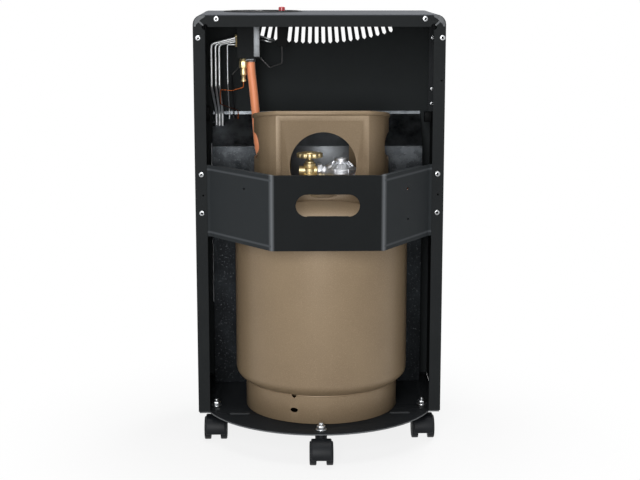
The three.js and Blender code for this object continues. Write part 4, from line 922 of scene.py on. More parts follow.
def collar_top(y):
    return COLLAR_TOP - COLLAR_SLOPE * (y - COLLAR_REAR)


def stadium_outline(a, b, length, height, steps=12):
    radius = height / 2
    half = length / 2 - radius
    right = [(a + half + radius * math.cos(t), b + radius * math.sin(t))
             for t in [-math.pi / 2 + math.pi * k / steps for k in range(steps + 1)]]
    left = [(a - half - radius * math.cos(t), b - radius * math.sin(t))
            for t in [-math.pi / 2 + math.pi * k / steps for k in range(steps + 1)]]
    return [*right, *left]


bm = bmesh.new()
add_prism(bm, [*collar_line(0), *reversed(collar_line(COLLAR_WALL))], 425, 580)
collar = piece_from("bottle_collar", bm, bottle_paint)
reach = COLLAR_RADIUS + 9
rear, front = COLLAR_REAR, BOTTLE[1] + COLLAR_RADIUS
over_top = [(rear - 9, collar_top(rear - 9)), (front + 9, collar_top(front + 9)), (front + 9, 590),
            (rear - 9, 590)]
high_cut = bottle_outline(-0.3)[1]
carved(collar, [
    lambda b: add_prism(b, over_top, BOTTLE[0] - reach, BOTTLE[0] + reach, "X"),
    lambda b: add_turned(b, [(0, 300), (149.3, 300), *high_cut[:-1], (0, high_cut[-1][1])],
                         (*BOTTLE, 0), 96),
    lambda b: add_prism(b, stadium_outline(BOTTLE[1], 514, 92, 44), BOTTLE[0] - reach,
                        BOTTLE[0] + reach, "X"),
    lambda b: add_prism(b, box_outline(BOTTLE[0] - reach, BOTTLE[0] + reach, -22, 100), 400, 457),
    lambda b: add_prism(b, box_outline(BOTTLE[0] - 57.75, BOTTLE[0] + 57.75, 100, front + 5), 0,
                        457),
    lambda b: add_turned(b, [(0, rear - 9), (55.5, rear - 9), (55.5, rear + 40), (0, rear + 40)],
                         (5, 0, 488), 96, "Y"),
    lambda b: add_prism(b, box_outline(BOTTLE[0] - 67, BOTTLE[0] + 67, rear - 9, rear + 1), 400,
                        562),
    lambda b: add_prism(b, box_outline(BOTTLE[0] - 69, BOTTLE[0] - 66.8, rear - 9, rear + 2.2),
                        400, 562),
])
softened(collar, 0.7)
bm = bmesh.new()
rim_line = [(x, y, collar_top(y)) for x, y in collar_line(COLLAR_WALL / 2)]
add_tube(bm, rim_line, RIM_RADIUS, 16)
rim = piece_from("collar_rolled_rim", bm, bottle_paint)
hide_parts("cylinder_collar")
print("collar:", len(collar.data.polygons), "faces, rim:", len(rim.data.polygons))

# %% [markdown]
# ## The bottle's tap and handwheel
#
# The tap is turned and milled from brass bar: a hexagon that screws into the bottle, a
# block to one side, and an upright column with the handwheel on top. The union nut, with
# its left-hand thread, pulls the regulator onto the tap's outlet.

# %% Tap
COLUMN_X, OUTLET_X, OUTLET_Z = -16, -3, 468


def hexagon(x, y, radius):
    return [(x + radius * math.cos(math.radians(30 + 60 * k)),
             y + radius * math.sin(math.radians(30 + 60 * k)))
            for k in range(6)]


bm = bmesh.new()
add_turned(bm, [(0, 433), (11.5, 433), (11.5, 447), (0, 447)], (*BOTTLE, 0), 48)
add_prism(bm, hexagon(*BOTTLE, 16), 446.3, 454.4, "Z", 0.8)
add_prism(bm, round_outline(COLUMN_X - 13, BOTTLE[0], BOTTLE[1] - 8, BOTTLE[1] + 8, 2), 446.3,
          454.4, "Z", 0.6)
column = [(0, 447), (11, 447), (11, 462), (9.4, 463), (9.4, 465), (11, 466), (11, 472),
          (8.6, 473.5), (8.6, 475),
          (10.4, 476), (10.4, 480), (8, 481.5), (8, 484), (5, 486), (4, 486.4), (4, 496.5),
          (0, 497)]
add_turned(bm, column, (COLUMN_X, BOTTLE[1], 0), 48)
outlet = [(0, -18), (8, -18), (8, -13.2), (8, 12.2), (7.2, 13), (0, 13)]
add_turned(bm, outlet, (COLUMN_X, BOTTLE[1], OUTLET_Z), 48, "X")
tap = piece_from("bottle_tap", bm, turned_brass)
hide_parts("cylinder_valve")

bm = bmesh.new()
add_prism(bm, [(a, b) for a, b in [(BOTTLE[1] + 13 * math.cos(math.radians(60 * k)),
                                    OUTLET_Z + 13 * math.sin(math.radians(60 * k)))
                                   for k in range(6)]], OUTLET_X + 0.3, OUTLET_X + 8.7, "X", 0.8)
add_turned(bm, [(0, 8.7), (10, 8.7), (10, 13.2), (9.2, 14), (0, 14)],
           (OUTLET_X + 0.3, BOTTLE[1], OUTLET_Z), 48, "X")
union_nut = piece_from("union_nut", bm, cast_alloy)
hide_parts("regulator_union_nut")

# %% Handwheel
WHEEL_RADIUS, WHEEL_LOW, WHEEL_HIGH, LOBES = 22.5, 491, 500, 12


def lobed(radius, depth, count=144):
    turns = [2 * math.pi * k / count for k in range(count)]
    return [(COLUMN_X + (radius - depth * (0.5 - 0.5 * math.cos(LOBES * t)) ** 2) * math.cos(t),
             BOTTLE[1] + (radius - depth * (0.5 - 0.5 * math.cos(LOBES * t)) ** 2) * math.sin(t))
             for t in turns]


bm = bmesh.new()
add_prism(bm, lobed(WHEEL_RADIUS, 2.2), WHEEL_LOW, WHEEL_HIGH - 1.6, "Z", 0.9)
add_turned(bm, [(4.4, 491), (12, 491), (12, 499.2), (11.2, 500), (6, 500), (4.4, 499)],
           (COLUMN_X, BOTTLE[1], 0), 64)
handwheel = piece_from("tap_handwheel", bm, turned_brass, "handwheel")
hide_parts("valve_handwheel")
print("tap:", len(tap.data.polygons), "handwheel:", len(handwheel.data.polygons), "faces")

# %% [markdown]
# ## The regulator
#
# A low-pressure regulator is two thin castings clamped round a rubber diaphragm, so it has
# a wide rim with clamp lugs, a domed cover with cooling ribs and a small cap over its
# spring. The hose is pushed on a tail with rings that bite. The ribs of the dome and the
# clamp lugs repeat round the axis, so Geometry Nodes places them.

# %% Geometry Nodes helper
def new_tree(name, sockets):
    """A Geometry Nodes tree with named inputs, and its group input and output."""
    tree = bpy.data.node_groups.new(name, "GeometryNodeTree")
    tree.interface.new_socket("Geometry", in_out="INPUT", socket_type="NodeSocketGeometry")
    for label, kind, value in sockets:
        made = tree.interface.new_socket(label, in_out="INPUT", socket_type=kind)
        if value is not None:
            made.default_value = value
    tree.interface.new_socket("Geometry", in_out="OUTPUT", socket_type="NodeSocketGeometry")
    return tree, add(tree, "NodeGroupInput"), add(tree, "NodeGroupOutput")


def grown(name, base, tree, values, body, angle=35.0):
    """Runs a tree on an object, turns the result into a plain mesh and lets it ride on a body."""
    step = base.modifiers.new("grown", "NODES")
    step.node_group = tree
    names = {item.name: item.identifier for item in tree.interface.items_tree
             if item.in_out == "INPUT"}
    for label, value in values.items():
        step[names[label]] = value
    base.data.update()
    result = evaluated_mesh(base)
    base.modifiers.clear()
    bpy.data.objects.remove(base)
    result.name = name
    shade(result, angle)
    made = link(name, result)
    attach(made, body)
    return made


def round_tree():
    """Copies an object round an upright axis: the base object's single point is the axis."""
    tree, start, end = new_tree("copies round an axis", [
        ("Copy", "NodeSocketObject", None), ("Count", "NodeSocketInt", 8),
        ("Material", "NodeSocketMaterial", None)])
    spots = add(tree, "GeometryNodeMeshLine", {"Count": start.outputs["Count"],
                                               "Offset": (0, 0, 0)})
    index = add(tree, "GeometryNodeInputIndex")
    part = add(tree, "ShaderNodeMath", {0: index.outputs[0], 1: 2 * math.pi}, operation="MULTIPLY")
    turn = add(tree, "ShaderNodeMath", {0: part.outputs[0], 1: start.outputs["Count"]},
               operation="DIVIDE")
    spin = add(tree, "ShaderNodeCombineXYZ", {"Z": turn.outputs[0]})
    shape = add(tree, "GeometryNodeObjectInfo", {"Object": start.outputs["Copy"]})
    copies = add(tree, "GeometryNodeInstanceOnPoints", {
        "Points": spots.outputs["Mesh"], "Instance": shape.outputs["Geometry"],
        "Rotation": spin.outputs[0]})
    centre = add(tree, "GeometryNodeInputPosition")
    axis = add(tree, "GeometryNodeAttributeStatistic", {"Geometry": start.outputs["Geometry"],
                                                       "Attribute": centre.outputs[0]},
                                                       data_type="FLOAT_VECTOR")
    moved = add(tree, "GeometryNodeTransform",
                {"Geometry": copies.outputs[0], "Translation": axis.outputs["Mean"]})
    whole = add(tree, "GeometryNodeRealizeInstances", {"Geometry": moved.outputs[0]})
    dressed = add(tree, "GeometryNodeSetMaterial",
                  {"Geometry": whole.outputs[0], "Material": start.outputs["Material"]})
    tree.links.new(dressed.outputs[0], end.inputs["Geometry"])
    return tree


def point_object(name, places):
    mesh = bpy.data.meshes.new(name)
    mesh.from_pydata([tuple(p) for p in places], [], [])
    return link(name, mesh)


def loose_shape(name, fill):
    """A shape drawn round the world's middle, kept only until it has been copied."""
    bm = bmesh.new()
    fill(bm)
    bmesh.ops.recalc_face_normals(bm, faces=bm.faces)
    bmesh.ops.translate(bm, verts=bm.verts, vec=-at(0, 0, 0))
    mesh = bpy.data.meshes.new(name)
    bm.to_mesh(mesh)
    bm.free()
    return link(name, mesh)


round_copies = round_tree()
print("tree:", round_copies.name, "inputs:", [i.name for i in round_copies.interface.items_tree
                                              if i.in_out == "INPUT"])

# %% Regulator
REGULATOR = (38.6, 53)
bm = bmesh.new()
outline = [(0, 455), (14, 455), (20, 456.5), (22, 458), (25, 462), (27, 464.5), (27, 467.4),
           (26.2, 467.8),
           (26.2, 468.2), (27, 468.6), (27, 471.2), (25.6, 472.6), (22.5, 474.6), (19, 477.5),
           (15.5, 480), (14, 481),
           (12, 481), (12, 488.6), (11, 490), (4, 490), (3.4, 489.2), (0, 489.2)]
add_turned(bm, outline, (*REGULATOR, 0), 96)
add_turned(bm, [(0, 11.6), (9.5, 11.6), (11, 12.6), (13.5, 17), (15, 22), (0, 22)],
           (0, REGULATOR[1], 467.6), 48, "X")
tail = [along_tail(24 + 13 * k / 24) for k in range(25)]
add_tube(bm, tail, lambda t: 5.0 - 0.9 * ((t * 5) % 1.0), 24)
regulator = piece_from("regulator", bm, cast_alloy)
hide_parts("regulator_body")

lug = loose_shape("lug", lambda b: add_prism(b, round_outline(21.4, 27.4, -3.6, 3.6, 1.6), 462.5,
                                             473.2, "Z", 0.7))
clamp_lugs = grown("regulator_clamp_lugs", point_object("axis", [at(*REGULATOR, 0)]), round_copies,
                   {"Copy": lug, "Count": 6, "Material": cast_alloy}, "cabinet")
bpy.data.objects.remove(lug)
rib = loose_shape("rib", lambda b: add_prism(b,
                                             [(12.5, 481.4), (12.5, 484.5), (14.5, 483.2),
                                              (21.5, 476.4), (21.5, 474.6)],
                                            -0.7, 0.7, "Y", 0.25))
dome_ribs = grown("regulator_dome_ribs", point_object("axis", [at(*REGULATOR, 0)]), round_copies,
                  {"Copy": rib, "Count": 16, "Material": cast_alloy}, "cabinet")
bpy.data.objects.remove(rib)
print("regulator:", len(regulator.data.polygons), "lugs:", len(clamp_lugs.data.polygons), "ribs:",
      len(dome_ribs.data.polygons))

# %% [markdown]
# ## The hose
#
# The route was settled at the start. Here a ring of 24 sides is swept along it. Both ends
# go back into the object, one over the regulator's tail, one over the tap's inlet.

# %% Hose
bm = bmesh.new()
add_tube(bm, hose_route, HOSE_RADIUS, 24)
hose = piece_from("orange_gas_hose", bm, hose_rubber)
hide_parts("gas_hose")

# %% Hose clips
def clip_band(name, low, high, screw_side):
    """A band clip round the hose between two places, with its worm screw to one side."""
    a, b = Vector(low), Vector(high)
    bm = bmesh.new()
    steps = [a.lerp(b, t) for t in (0, 0.05, 0.95, 1)]
    add_tube(bm, steps, lambda t: HOSE_RADIUS + (1.2 if 0.01 < t < 0.99 else 0.6), 32)
    middle = a.lerp(b, 0.5)
    along = (b - a).normalized()
    out = (Vector(screw_side) - along * Vector(screw_side).dot(along)).normalized()
    side = along.cross(out)
    head = middle + out * (HOSE_RADIUS + 3.2)
    add_tube(bm, [head - side * 6.5, head - side * 4, head + side * 5], 2.9, 20)
    add_tube(bm, [head - side * 8.4, head - side * 6.6], 3.4, 6)
    return piece_from(name, bm, dull_zinc)


inlet_clip = clip_band("inlet_hose_clip", (-118, 150, 648.3), (-118, 150, 657.3), (0, -1, 0))
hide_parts("hose_clip_inlet")
tail_clip = clip_band("regulator_hose_clip", along_tail(38.5), along_tail(46), (0, 0, 1))
print("clips made:", inlet_clip.name, tail_clip.name)

# %% [markdown]
# ## Casters
#
# Each caster is a twin-wheel furniture caster: a moulded nylon hood that swivels on a
# threaded stem, and two wheels on one axle. The hood's mould has generous radii, so light
# rolls over its shoulder. One hood, one wheel pair and one stem are modelled and then
# copied to the five places, each copy for its own body.

# %% Caster shapes
CASTERS = [(-181, 36), (181, 36), (0, -105), (-181, 195), (181, 195)]
TRAIL, WHEEL, HOOD, HOOD_HALF, HOOD_EDGE = 21, 20, 24, 17, 13.5


def hood_profile(steps=40):
    low = math.asin((HOOD_EDGE - WHEEL) / HOOD)
    turns = [low + (math.pi - 2 * low) * k / steps for k in range(steps + 1)]
    return [(-TRAIL + HOOD * math.cos(t), WHEEL + HOOD * math.sin(t)) for t in turns]


def caster_hood():
    bm = bmesh.new()
    add_prism(bm, hood_profile(), -HOOD_HALF, HOOD_HALF, "X")
    made = piece_from("hood_master", bm, caster_nylon)
    softened(made, 3.0, 50, 5)
    carved(made, [lambda b: add_turned(b, [(0, 30), (10, 30), (10, 45), (0, 45)], (0, 0, 0), 48)],
           "UNION")
    room = [(0, 7.4), (21.6, 7.4), (21.6, 30), (0, 30)]
    carved(made, [
        lambda b: add_turned(b, room, (0, -TRAIL, WHEEL), 64, "X"),
        lambda b: add_turned(b, [(r, -h) for r, h in reversed(room)], (0, -TRAIL, WHEEL), 64, "X"),
        lambda b: add_turned(b, [(0, 32.7), (5.4, 32.7), (5.4, 46), (0, 46)], (0, 0, 0), 32),
    ])
    return softened(made, 0.5, 40, 2)


def caster_wheels():
    bm = bmesh.new()
    half = [(3, 8.2), (17, 8.2), (19.2, 8.5), (20, 9.6), (20, 18), (19.3, 19.2), (18, 19.6),
            (16.4, 19.7), (15.6, 18.9),
            (14.2, 18.6), (9, 18.6), (7.6, 19), (6.6, 19.7), (0, 19.7)]
    outline = [*[(r, -h) for r, h in reversed(half)], *half]
    add_turned(bm, outline, (0, -TRAIL, WHEEL), 72, "X")
    return piece_from("wheel_master", bm, caster_nylon)


NUT = 7.8


def caster_stem():
    bm = bmesh.new()
    stem = [(0, 33), (5, 33), (5, 45.3), (8, 45.3), (8, 46.4), (7, 47.2), (5.4, 48), (5.4, 50.6),
            (8.6, 50.8), (8.6, 51.7),
            (4.4, 51.7), (4.4, 60)]
    threads = [(4.4 - 0.55 * (k % 2), 60 + 0.42 * k) for k in range(12)]
    add_turned(bm, [*stem, *threads, (3.6, 66), (2.8, 66.3), (0, 66.3)], (0, 0, 0), 40)
    add_prism(bm, [(NUT * math.cos(math.radians(60 * k)), NUT * math.sin(math.radians(60 * k)))
                   for k in range(6)],
              55.4, 61.2, "Z", 0.9)
    add_turned(bm, [(4.6, 54.2), (9.1, 54.2), (9.3, 54.6), (9.1, 55.2), (4.6, 55.2)], (0, 0, 0),
               48)
    return piece_from("stem_master", bm, zinc_plate)


# %% Five casters
def placed_copy(master, name, place, body, node):
    mesh = master.data.copy()
    mesh.name = name
    mesh.transform(Matrix.Translation(Vector((place[0], place[1], 0)) * MM))
    made = link(name, mesh)
    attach(made, body)
    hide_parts(node)
    return made


hood, wheels, stem = caster_hood(), caster_wheels(), caster_stem()
for number, place in enumerate(CASTERS, 1):
    placed_copy(hood, f"caster_{number}_hood", place, f"caster_{number}_fork",
                f"caster_hood_{number}")
    placed_copy(wheels, f"caster_{number}_wheel_pair", place, f"caster_{number}_wheels",
                f"caster_wheels_{number}")
    placed_copy(stem, f"caster_{number}_stem", place, "cabinet", f"caster_stem_{number}")
for master in (hood, wheels, stem):
    bpy.data.objects.remove(master)
print("casters:", len(CASTERS))

# %% [markdown]
# ## The guard band
#
# The band is one strip of black sheet, bent twice, so it reaches round the bottle. It hangs
# by keyholes on four screws and has a slot for the fingers. Its two bend lines and the
# turned-in hems of the wings are painted paler, as painted highlights, and the wings are
# painted lighter than the middle, as painted light on their angled faces. The outer bend
# lines look paler in the photograph, perhaps from wear or from light on the bend. The CAD
# shape is right, so a copy with rounded edges is enough. A few small holes stay open in the
# wings and in the flanges behind them; what they are for is not known.

# %% Guard band
BAND_BENDS, BAND_EDGES, HEM = (-80.5, 100.5), (363, 485), 7.5


def band_painted_highlights(tree, place):
    """Painted highlights on the band: its two bends, and on the wings a line along each turned-in hem; the wings are
    painted lighter than the middle, as painted light.
    """
    parts = add(tree, "ShaderNodeSeparateXYZ", {"Vector": place})
    across, height = parts.outputs["X"], parts.outputs["Z"]
    changes = []
    on_wings = 0.0
    for bend, side in zip(BAND_BENDS, (-1, 1)):
        away = add(tree, "ShaderNodeMath", {0: across, 1: bend * MM},
                   operation="SUBTRACT").outputs[0]
        off = add(tree, "ShaderNodeMath", {0: away}, operation="ABSOLUTE").outputs[0]
        # A painted highlight along each bend line.
        changes.append((off, 5.0 * MM, 0.0, 0x686B6E))
        wing = add(tree, "ShaderNodeMapRange",
                   {"Value": away, "From Min": 0.0, "From Max": side * 1.5 * MM})
        on_wings = add(tree, "ShaderNodeMath", {0: wing.outputs["Result"], 1: on_wings},
                       operation="MAXIMUM").outputs[0]
    # The wings are painted lighter than the band's middle, as painted light on their angled faces.
    changes.insert(0, (on_wings, 0.0, 1.0, 0x2B2E30))
    # A painted highlight along each turned-in hem of the wings.
    for edge, inward in zip(BAND_EDGES, (1, -1)):
        line = add(tree, "ShaderNodeMath", {0: height, 1: (edge + inward * HEM) * MM},
                   operation="SUBTRACT").outputs[0]
        off = add(tree, "ShaderNodeMath", {0: line}, operation="ABSOLUTE").outputs[0]
        near = add(tree, "ShaderNodeMapRange",
                   {"Value": off, "From Min": 2.6 * MM, "From Max": 0.5 * MM})
        seen = add(tree, "ShaderNodeMath", {0: near.outputs["Result"], 1: on_wings},
                   operation="MULTIPLY").outputs[0]
        changes.append((seen, 0.0, 1.0, 0x484B4E))
    return changes


guard_coat = powder_coat("satin black powder coat, guard band", 0x161819, 0.6, band_painted_highlights)
band = rounded_copy("rear_guard_band", guard_coat, 0.6, "guard_band")
HOLE_RADIUS = 1.7
WING_HOLES, SHARED_HOLES, FLANGE_HOLES = [(-125.5, 456), (143.7, 454.5),
                                          (144.6, 403)], [(-196.5, 433),
                                                  (200.5, 433.5)], [(204, 626)]


def spare_hole(x, z):
    """A drill along Y for one of the small holes that stay open in the sheets."""
    return lambda b: add_turned(b, [(0, -140), (HOLE_RADIUS, -140), (HOLE_RADIUS, 12), (0, 12)],
                                (x, 0, z), 20, "Y")


carved(band, [spare_hole(*spot) for spot in WING_HOLES + SHARED_HOLES])
carved(bpy.data.objects["cabinet_wrap_made"], [spare_hole(*spot)
                                               for spot in SHARED_HOLES + FLANGE_HOLES])
print("band:", len(band.data.polygons), "faces")

# %% [markdown]
# ## Tap, bracket and pipes under the top sheet
#
# The heater's own tap is a zinc casting with one pipe for each burner and one for the pilot.
# The tap's CAD solid only needs rounded edges and its own finish. The pipes are soft
# aluminium, bent by hand round a former, and each ends in a flared nut. They could be bevelled
# curves; here a ring is swept along straight runs whose corners are arcs, because that keeps
# each bend at one radius, as a former does.

# %% Tap
PLAIN_COPIES = [
    ("gas_valve", cast_alloy, 0.8, "cabinet"), ("hose_inlet", turned_brass, 0.3, "cabinet"),
    ("pilot_burner", turned_brass, 0.3, "cabinet"), ("spark_electrode", porcelain, 0.3, "cabinet"),
    ("valve_spindle", zinc_plate, 0.4, "tap_spindle"),
    ("piezo_igniter", igniter_plastic, 0.6, "cabinet"),
    ("control_dish", recess_plastic, 0.4, "cabinet"),
]
for node, material, edge, body in PLAIN_COPIES:
    made = rounded_copy(node, material, edge, body)
    print(made.name, len(made.data.polygons), "faces")

# %% Pipes and leads
def rounded_route(points, radius, steps=8):
    """A bent wire: straight between the points, each corner an arc of about this radius."""
    points = [Vector(p) for p in points]
    route = [points[0]]
    for before, corner, after in zip(points, points[1:], points[2:]):
        back, on = (before - corner).normalized(), (after - corner).normalized()
        half = (math.pi - back.angle(on)) / 2
        cut = radius * math.tan(half)
        for k in range(steps + 1):
            t = k / steps
            a, b, c = corner + back * cut, corner, corner + on * cut
            route.append(a.lerp(b, t).lerp(b.lerp(c, t), t))
    return [*route, points[-1]]


def bent_line(name, node, points, radius, bend, material):
    bm = bmesh.new()
    add_tube(bm, rounded_route(points, bend), radius, 16)
    made = piece_from(name, bm, material)
    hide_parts(node)
    print(name, len(made.data.polygons), "faces")
    return made


TAP_LEFT, PIPE_BACK_Y, ROOF_Z, LEAD_Y, PILOT_Y = -136.3, 218, 553, 229, 231
SUPPLY = [(13, -188, -183, 158, 692, 466, -106), (10, -181, -177.5, 168, 688, 477, 0),
          (7, -175, -172, 178, 684, 488, 106)]
for number, (drop, near, x, y, z, run, burner) in enumerate(SUPPLY, 1):
    bent_line(f"burner_pipe_{number}", f"supply_pipe_{number}", [
        (TAP_LEFT, y, z), (near, y, z - drop), (near, y, ROOF_Z + 50), (x, PIPE_BACK_Y, ROOF_Z),
        (x, PIPE_BACK_Y, run),
        (burner, PIPE_BACK_Y, run), (burner, PIPE_BACK_Y, 452.3)], 2.2, 9, drawn_aluminium)


def below_shield(upper, lower, run, tip, top):
    """The thin lines' shared way: down behind the shield, under the window, up to the pilot."""
    return [(upper, LEAD_Y, 514), (lower, LEAD_Y, 494), (lower, LEAD_Y, run), (tip, LEAD_Y, run),
            (tip, LEAD_Y, run + 9), (tip, PILOT_Y, run + 12), (tip, PILOT_Y, top)]


bent_line("pilot_line", "pilot_pipe", [(TAP_LEFT, 174, 677), (-160, 174, 677), (-160, 174, 607),
                                       (-160, LEAD_Y, 557),
          *below_shield(-160, -193, 196, -40, 223.7)], 1.2, 3, drawn_aluminium)
bent_line("spark_lead", "ignition_lead", [(-63, 174, 673.7), (-63, 174, 644), (-85, 178, 636),
                                          (-103, 180, 654),
          (-128, 178, 650), (-152, 170, 624), (-152, LEAD_Y, 556),
          *below_shield(-152, -186, 203, -60, 223.7)],
          1.3, 4, lead_silicone)
bent_line("thermocouple_line", "thermocouple",
          [(-131, 141, 616), (-131, 141, 604), (-152, 143, 598), (-172, 145, 600),
          (-172, 147, 574), (-144, LEAD_Y, 555), *below_shield(-144, -179.5, 210, -80, 240)], 0.9,
          4, copper_tube)

# %% Brass union
UNION = (-131, 141)
bm = bmesh.new()
add_turned(bm, [(0, 613.8), (3.6, 614), (4.4, 614.6), (4.4, 617.6), (3.2, 618.4), (3.4, 624),
                (5.2, 626.5), (5.2, 634),
                (4.2, 636), (4.2, 638), (0, 638)], (*UNION, 0), 40)
add_prism(bm, [(UNION[0] + 7.6 * math.cos(math.radians(60 * k)),
                UNION[1] + 7.6 * math.sin(math.radians(60 * k)))
               for k in range(6)], 637.5, 650, "Z", 1.2)
add_turned(bm, [(0, 649), (5, 649.6), (6.2, 652), (5, 656), (2.8, 658.5), (2.6, 663), (3.6, 665),
                (3.6, 671.4), (0, 671.4)],
           (*UNION, 0), 32)
tap_union = piece_from("thermocouple_union", bm, turned_brass)
print("union:", len(tap_union.data.polygons), "faces")

# %% [markdown]
# ## Knob and button
#
# The knob has a round skirt and a raised grip across it, moulded with soft edges and a
# white line on the grip that shows where it points. The button is the red cap of the igniter.

# %% Knob and button
KNOB, BUTTON = (-118, 174), (-63, 174)
bm = bmesh.new()
add_turned(bm, [(4.6, 719.5), (24.4, 719.5), (25, 720.1), (25, 723.4), (24, 725), (21.5, 725.8),
                (10, 726.2), (4.6, 726.2)],
           (*KNOB, 0), 96)
add_prism(bm, stadium_outline(*KNOB, 47, 11), 725.2, 737, "Z", 1.8)
knob = piece_from("tap_knob", bm, recess_plastic, "tap_knob")
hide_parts("control_knob")
bm = bmesh.new()
add_prism(bm, round_outline(KNOB[0] + 7, KNOB[0] + 20, KNOB[1] - 0.8, KNOB[1] + 0.8, 0.5), 736.8,
          737.15)
piece_from("tap_knob_pointer", bm, moulded("white pad-printed ink", 0xF2F2EE, 0.5, 1.0, 0.05),
           "tap_knob")
bm = bmesh.new()
add_turned(bm, [(0, 730.5), (5.85, 730.5), (5.85, 741.4), (5.5, 742.6), (4.6, 743.2), (2, 743.5),
                (0, 743.5)],
           (*BUTTON, 0), 48)
button = piece_from("igniter_cap", bm, button_plastic, "igniter_button")
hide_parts("igniter_button")
print("knob:", len(knob.data.polygons), "button:", len(button.data.polygons), "faces")

# %% [markdown]
# ## The wire guard of the burner window
#
# The guard is welded wire, nickel plated: three cross wires that turn back to the front
# panel, and thirteen upright rods in front of them. The rods repeat at one pitch, so a
# Geometry Nodes tree draws one rod and copies it along a line.

# %% Rods
def rod_tree():
    tree, start, end = new_tree("upright rods", [
        ("Rods", "NodeSocketInt", 13), ("Pitch", "NodeSocketFloat", 0.027),
        ("Length", "NodeSocketFloat", 0.276),
        ("Radius", "NodeSocketFloat", 0.0016), ("Material", "NodeSocketMaterial", None)])
    step = add(tree, "ShaderNodeCombineXYZ", {"X": start.outputs["Pitch"]})
    spots = add(tree, "GeometryNodeMeshLine", {"Count": start.outputs["Rods"],
                                               "Offset": step.outputs[0]})
    up = add(tree, "ShaderNodeCombineXYZ", {"Z": start.outputs["Length"]})
    rod = add(tree, "GeometryNodeCurvePrimitiveLine", {"End": up.outputs[0]})
    ring = add(tree, "GeometryNodeCurvePrimitiveCircle",
               {"Resolution": 16, "Radius": start.outputs["Radius"]})
    bar = add(tree, "GeometryNodeCurveToMesh",
              {"Curve": rod.outputs[0], "Profile Curve": ring.outputs[0],
                                                "Fill Caps": True})
    copies = add(tree, "GeometryNodeInstanceOnPoints",
                 {"Points": spots.outputs["Mesh"], "Instance": bar.outputs[0]})
    centre = add(tree, "GeometryNodeInputPosition")
    foot = add(tree, "GeometryNodeAttributeStatistic", {"Geometry": start.outputs["Geometry"],
                                                       "Attribute": centre.outputs[0]},
                                                       data_type="FLOAT_VECTOR")
    moved = add(tree, "GeometryNodeTransform",
                {"Geometry": copies.outputs[0], "Translation": foot.outputs["Mean"]})
    whole = add(tree, "GeometryNodeRealizeInstances", {"Geometry": moved.outputs[0]})
    dressed = add(tree, "GeometryNodeSetMaterial",
                  {"Geometry": whole.outputs[0], "Material": start.outputs["Material"]})
    tree.links.new(dressed.outputs[0], end.inputs["Geometry"])
    return tree


GUARD_REAR, GUARD_FRONT, WIRE, ROD = 240.3, 258.3, 2.5, 1.6
GUARD_HALF, ROD_COUNT, ROD_PITCH = 178, 13, 27
ROD_Y = GUARD_FRONT + WIRE + ROD / 2
rods = grown("guard_rods", point_object("first rod",
                                        [at(-ROD_PITCH * (ROD_COUNT - 1) / 2, ROD_Y, 207)]),
                                        rod_tree(),
             {"Rods": ROD_COUNT, "Pitch": ROD_PITCH * MM, "Length": 276 * MM, "Radius": ROD * MM,
              "Material": chromed_wire},
             "cabinet")

# %% Cross wires
bm = bmesh.new()
for height in (223, 345, 467):
    add_tube(bm, rounded_route([(-GUARD_HALF, GUARD_REAR, height),
                                (-GUARD_HALF, GUARD_FRONT, height),
                                (GUARD_HALF, GUARD_FRONT, height),
                                (GUARD_HALF, GUARD_REAR, height)], 6), WIRE, 16)
cross_wires = piece_from("guard_cross_wires", bm, chromed_wire)
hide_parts("guard_grille")
print("guard:", len(rods.data.polygons), "+", len(cross_wires.data.polygons), "faces")

# %% [markdown]
# ## Screws
#
# The cabinet is held by zinc-plated pan-head screws with a cross recess. One screw is
# modelled, its recess cut with two thin wedges, and Geometry Nodes puts it at each place
# with a seeded turn, so that the slots do not all line up.

# %% Screw tree
def screw_tree():
    tree, start, end = new_tree("screws at points", [
        ("Screw", "NodeSocketObject", None), ("Seed", "NodeSocketInt", 4),
        ("Material", "NodeSocketMaterial", None)])
    shape = add(tree, "GeometryNodeObjectInfo", {"Object": start.outputs["Screw"]})
    spread = add(tree, "FunctionNodeRandomValue", {"Seed": start.outputs["Seed"]},
                 data_type="FLOAT")
    spread.inputs[3].default_value = 2 * math.pi
    turn = add(tree, "ShaderNodeCombineXYZ", {"Y": spread.outputs[1]})
    spots = add(tree, "GeometryNodeMeshToPoints", {"Mesh": start.outputs["Geometry"]})
    copies = add(tree, "GeometryNodeInstanceOnPoints", {
        "Points": spots.outputs[0], "Instance": shape.outputs["Geometry"],
        "Rotation": turn.outputs[0]})
    whole = add(tree, "GeometryNodeRealizeInstances", {"Geometry": copies.outputs[0]})
    dressed = add(tree, "GeometryNodeSetMaterial",
                  {"Geometry": whole.outputs[0], "Material": start.outputs["Material"]})
    tree.links.new(dressed.outputs[0], end.inputs["Geometry"])
    return tree


RECESS_SHARE = 0.56


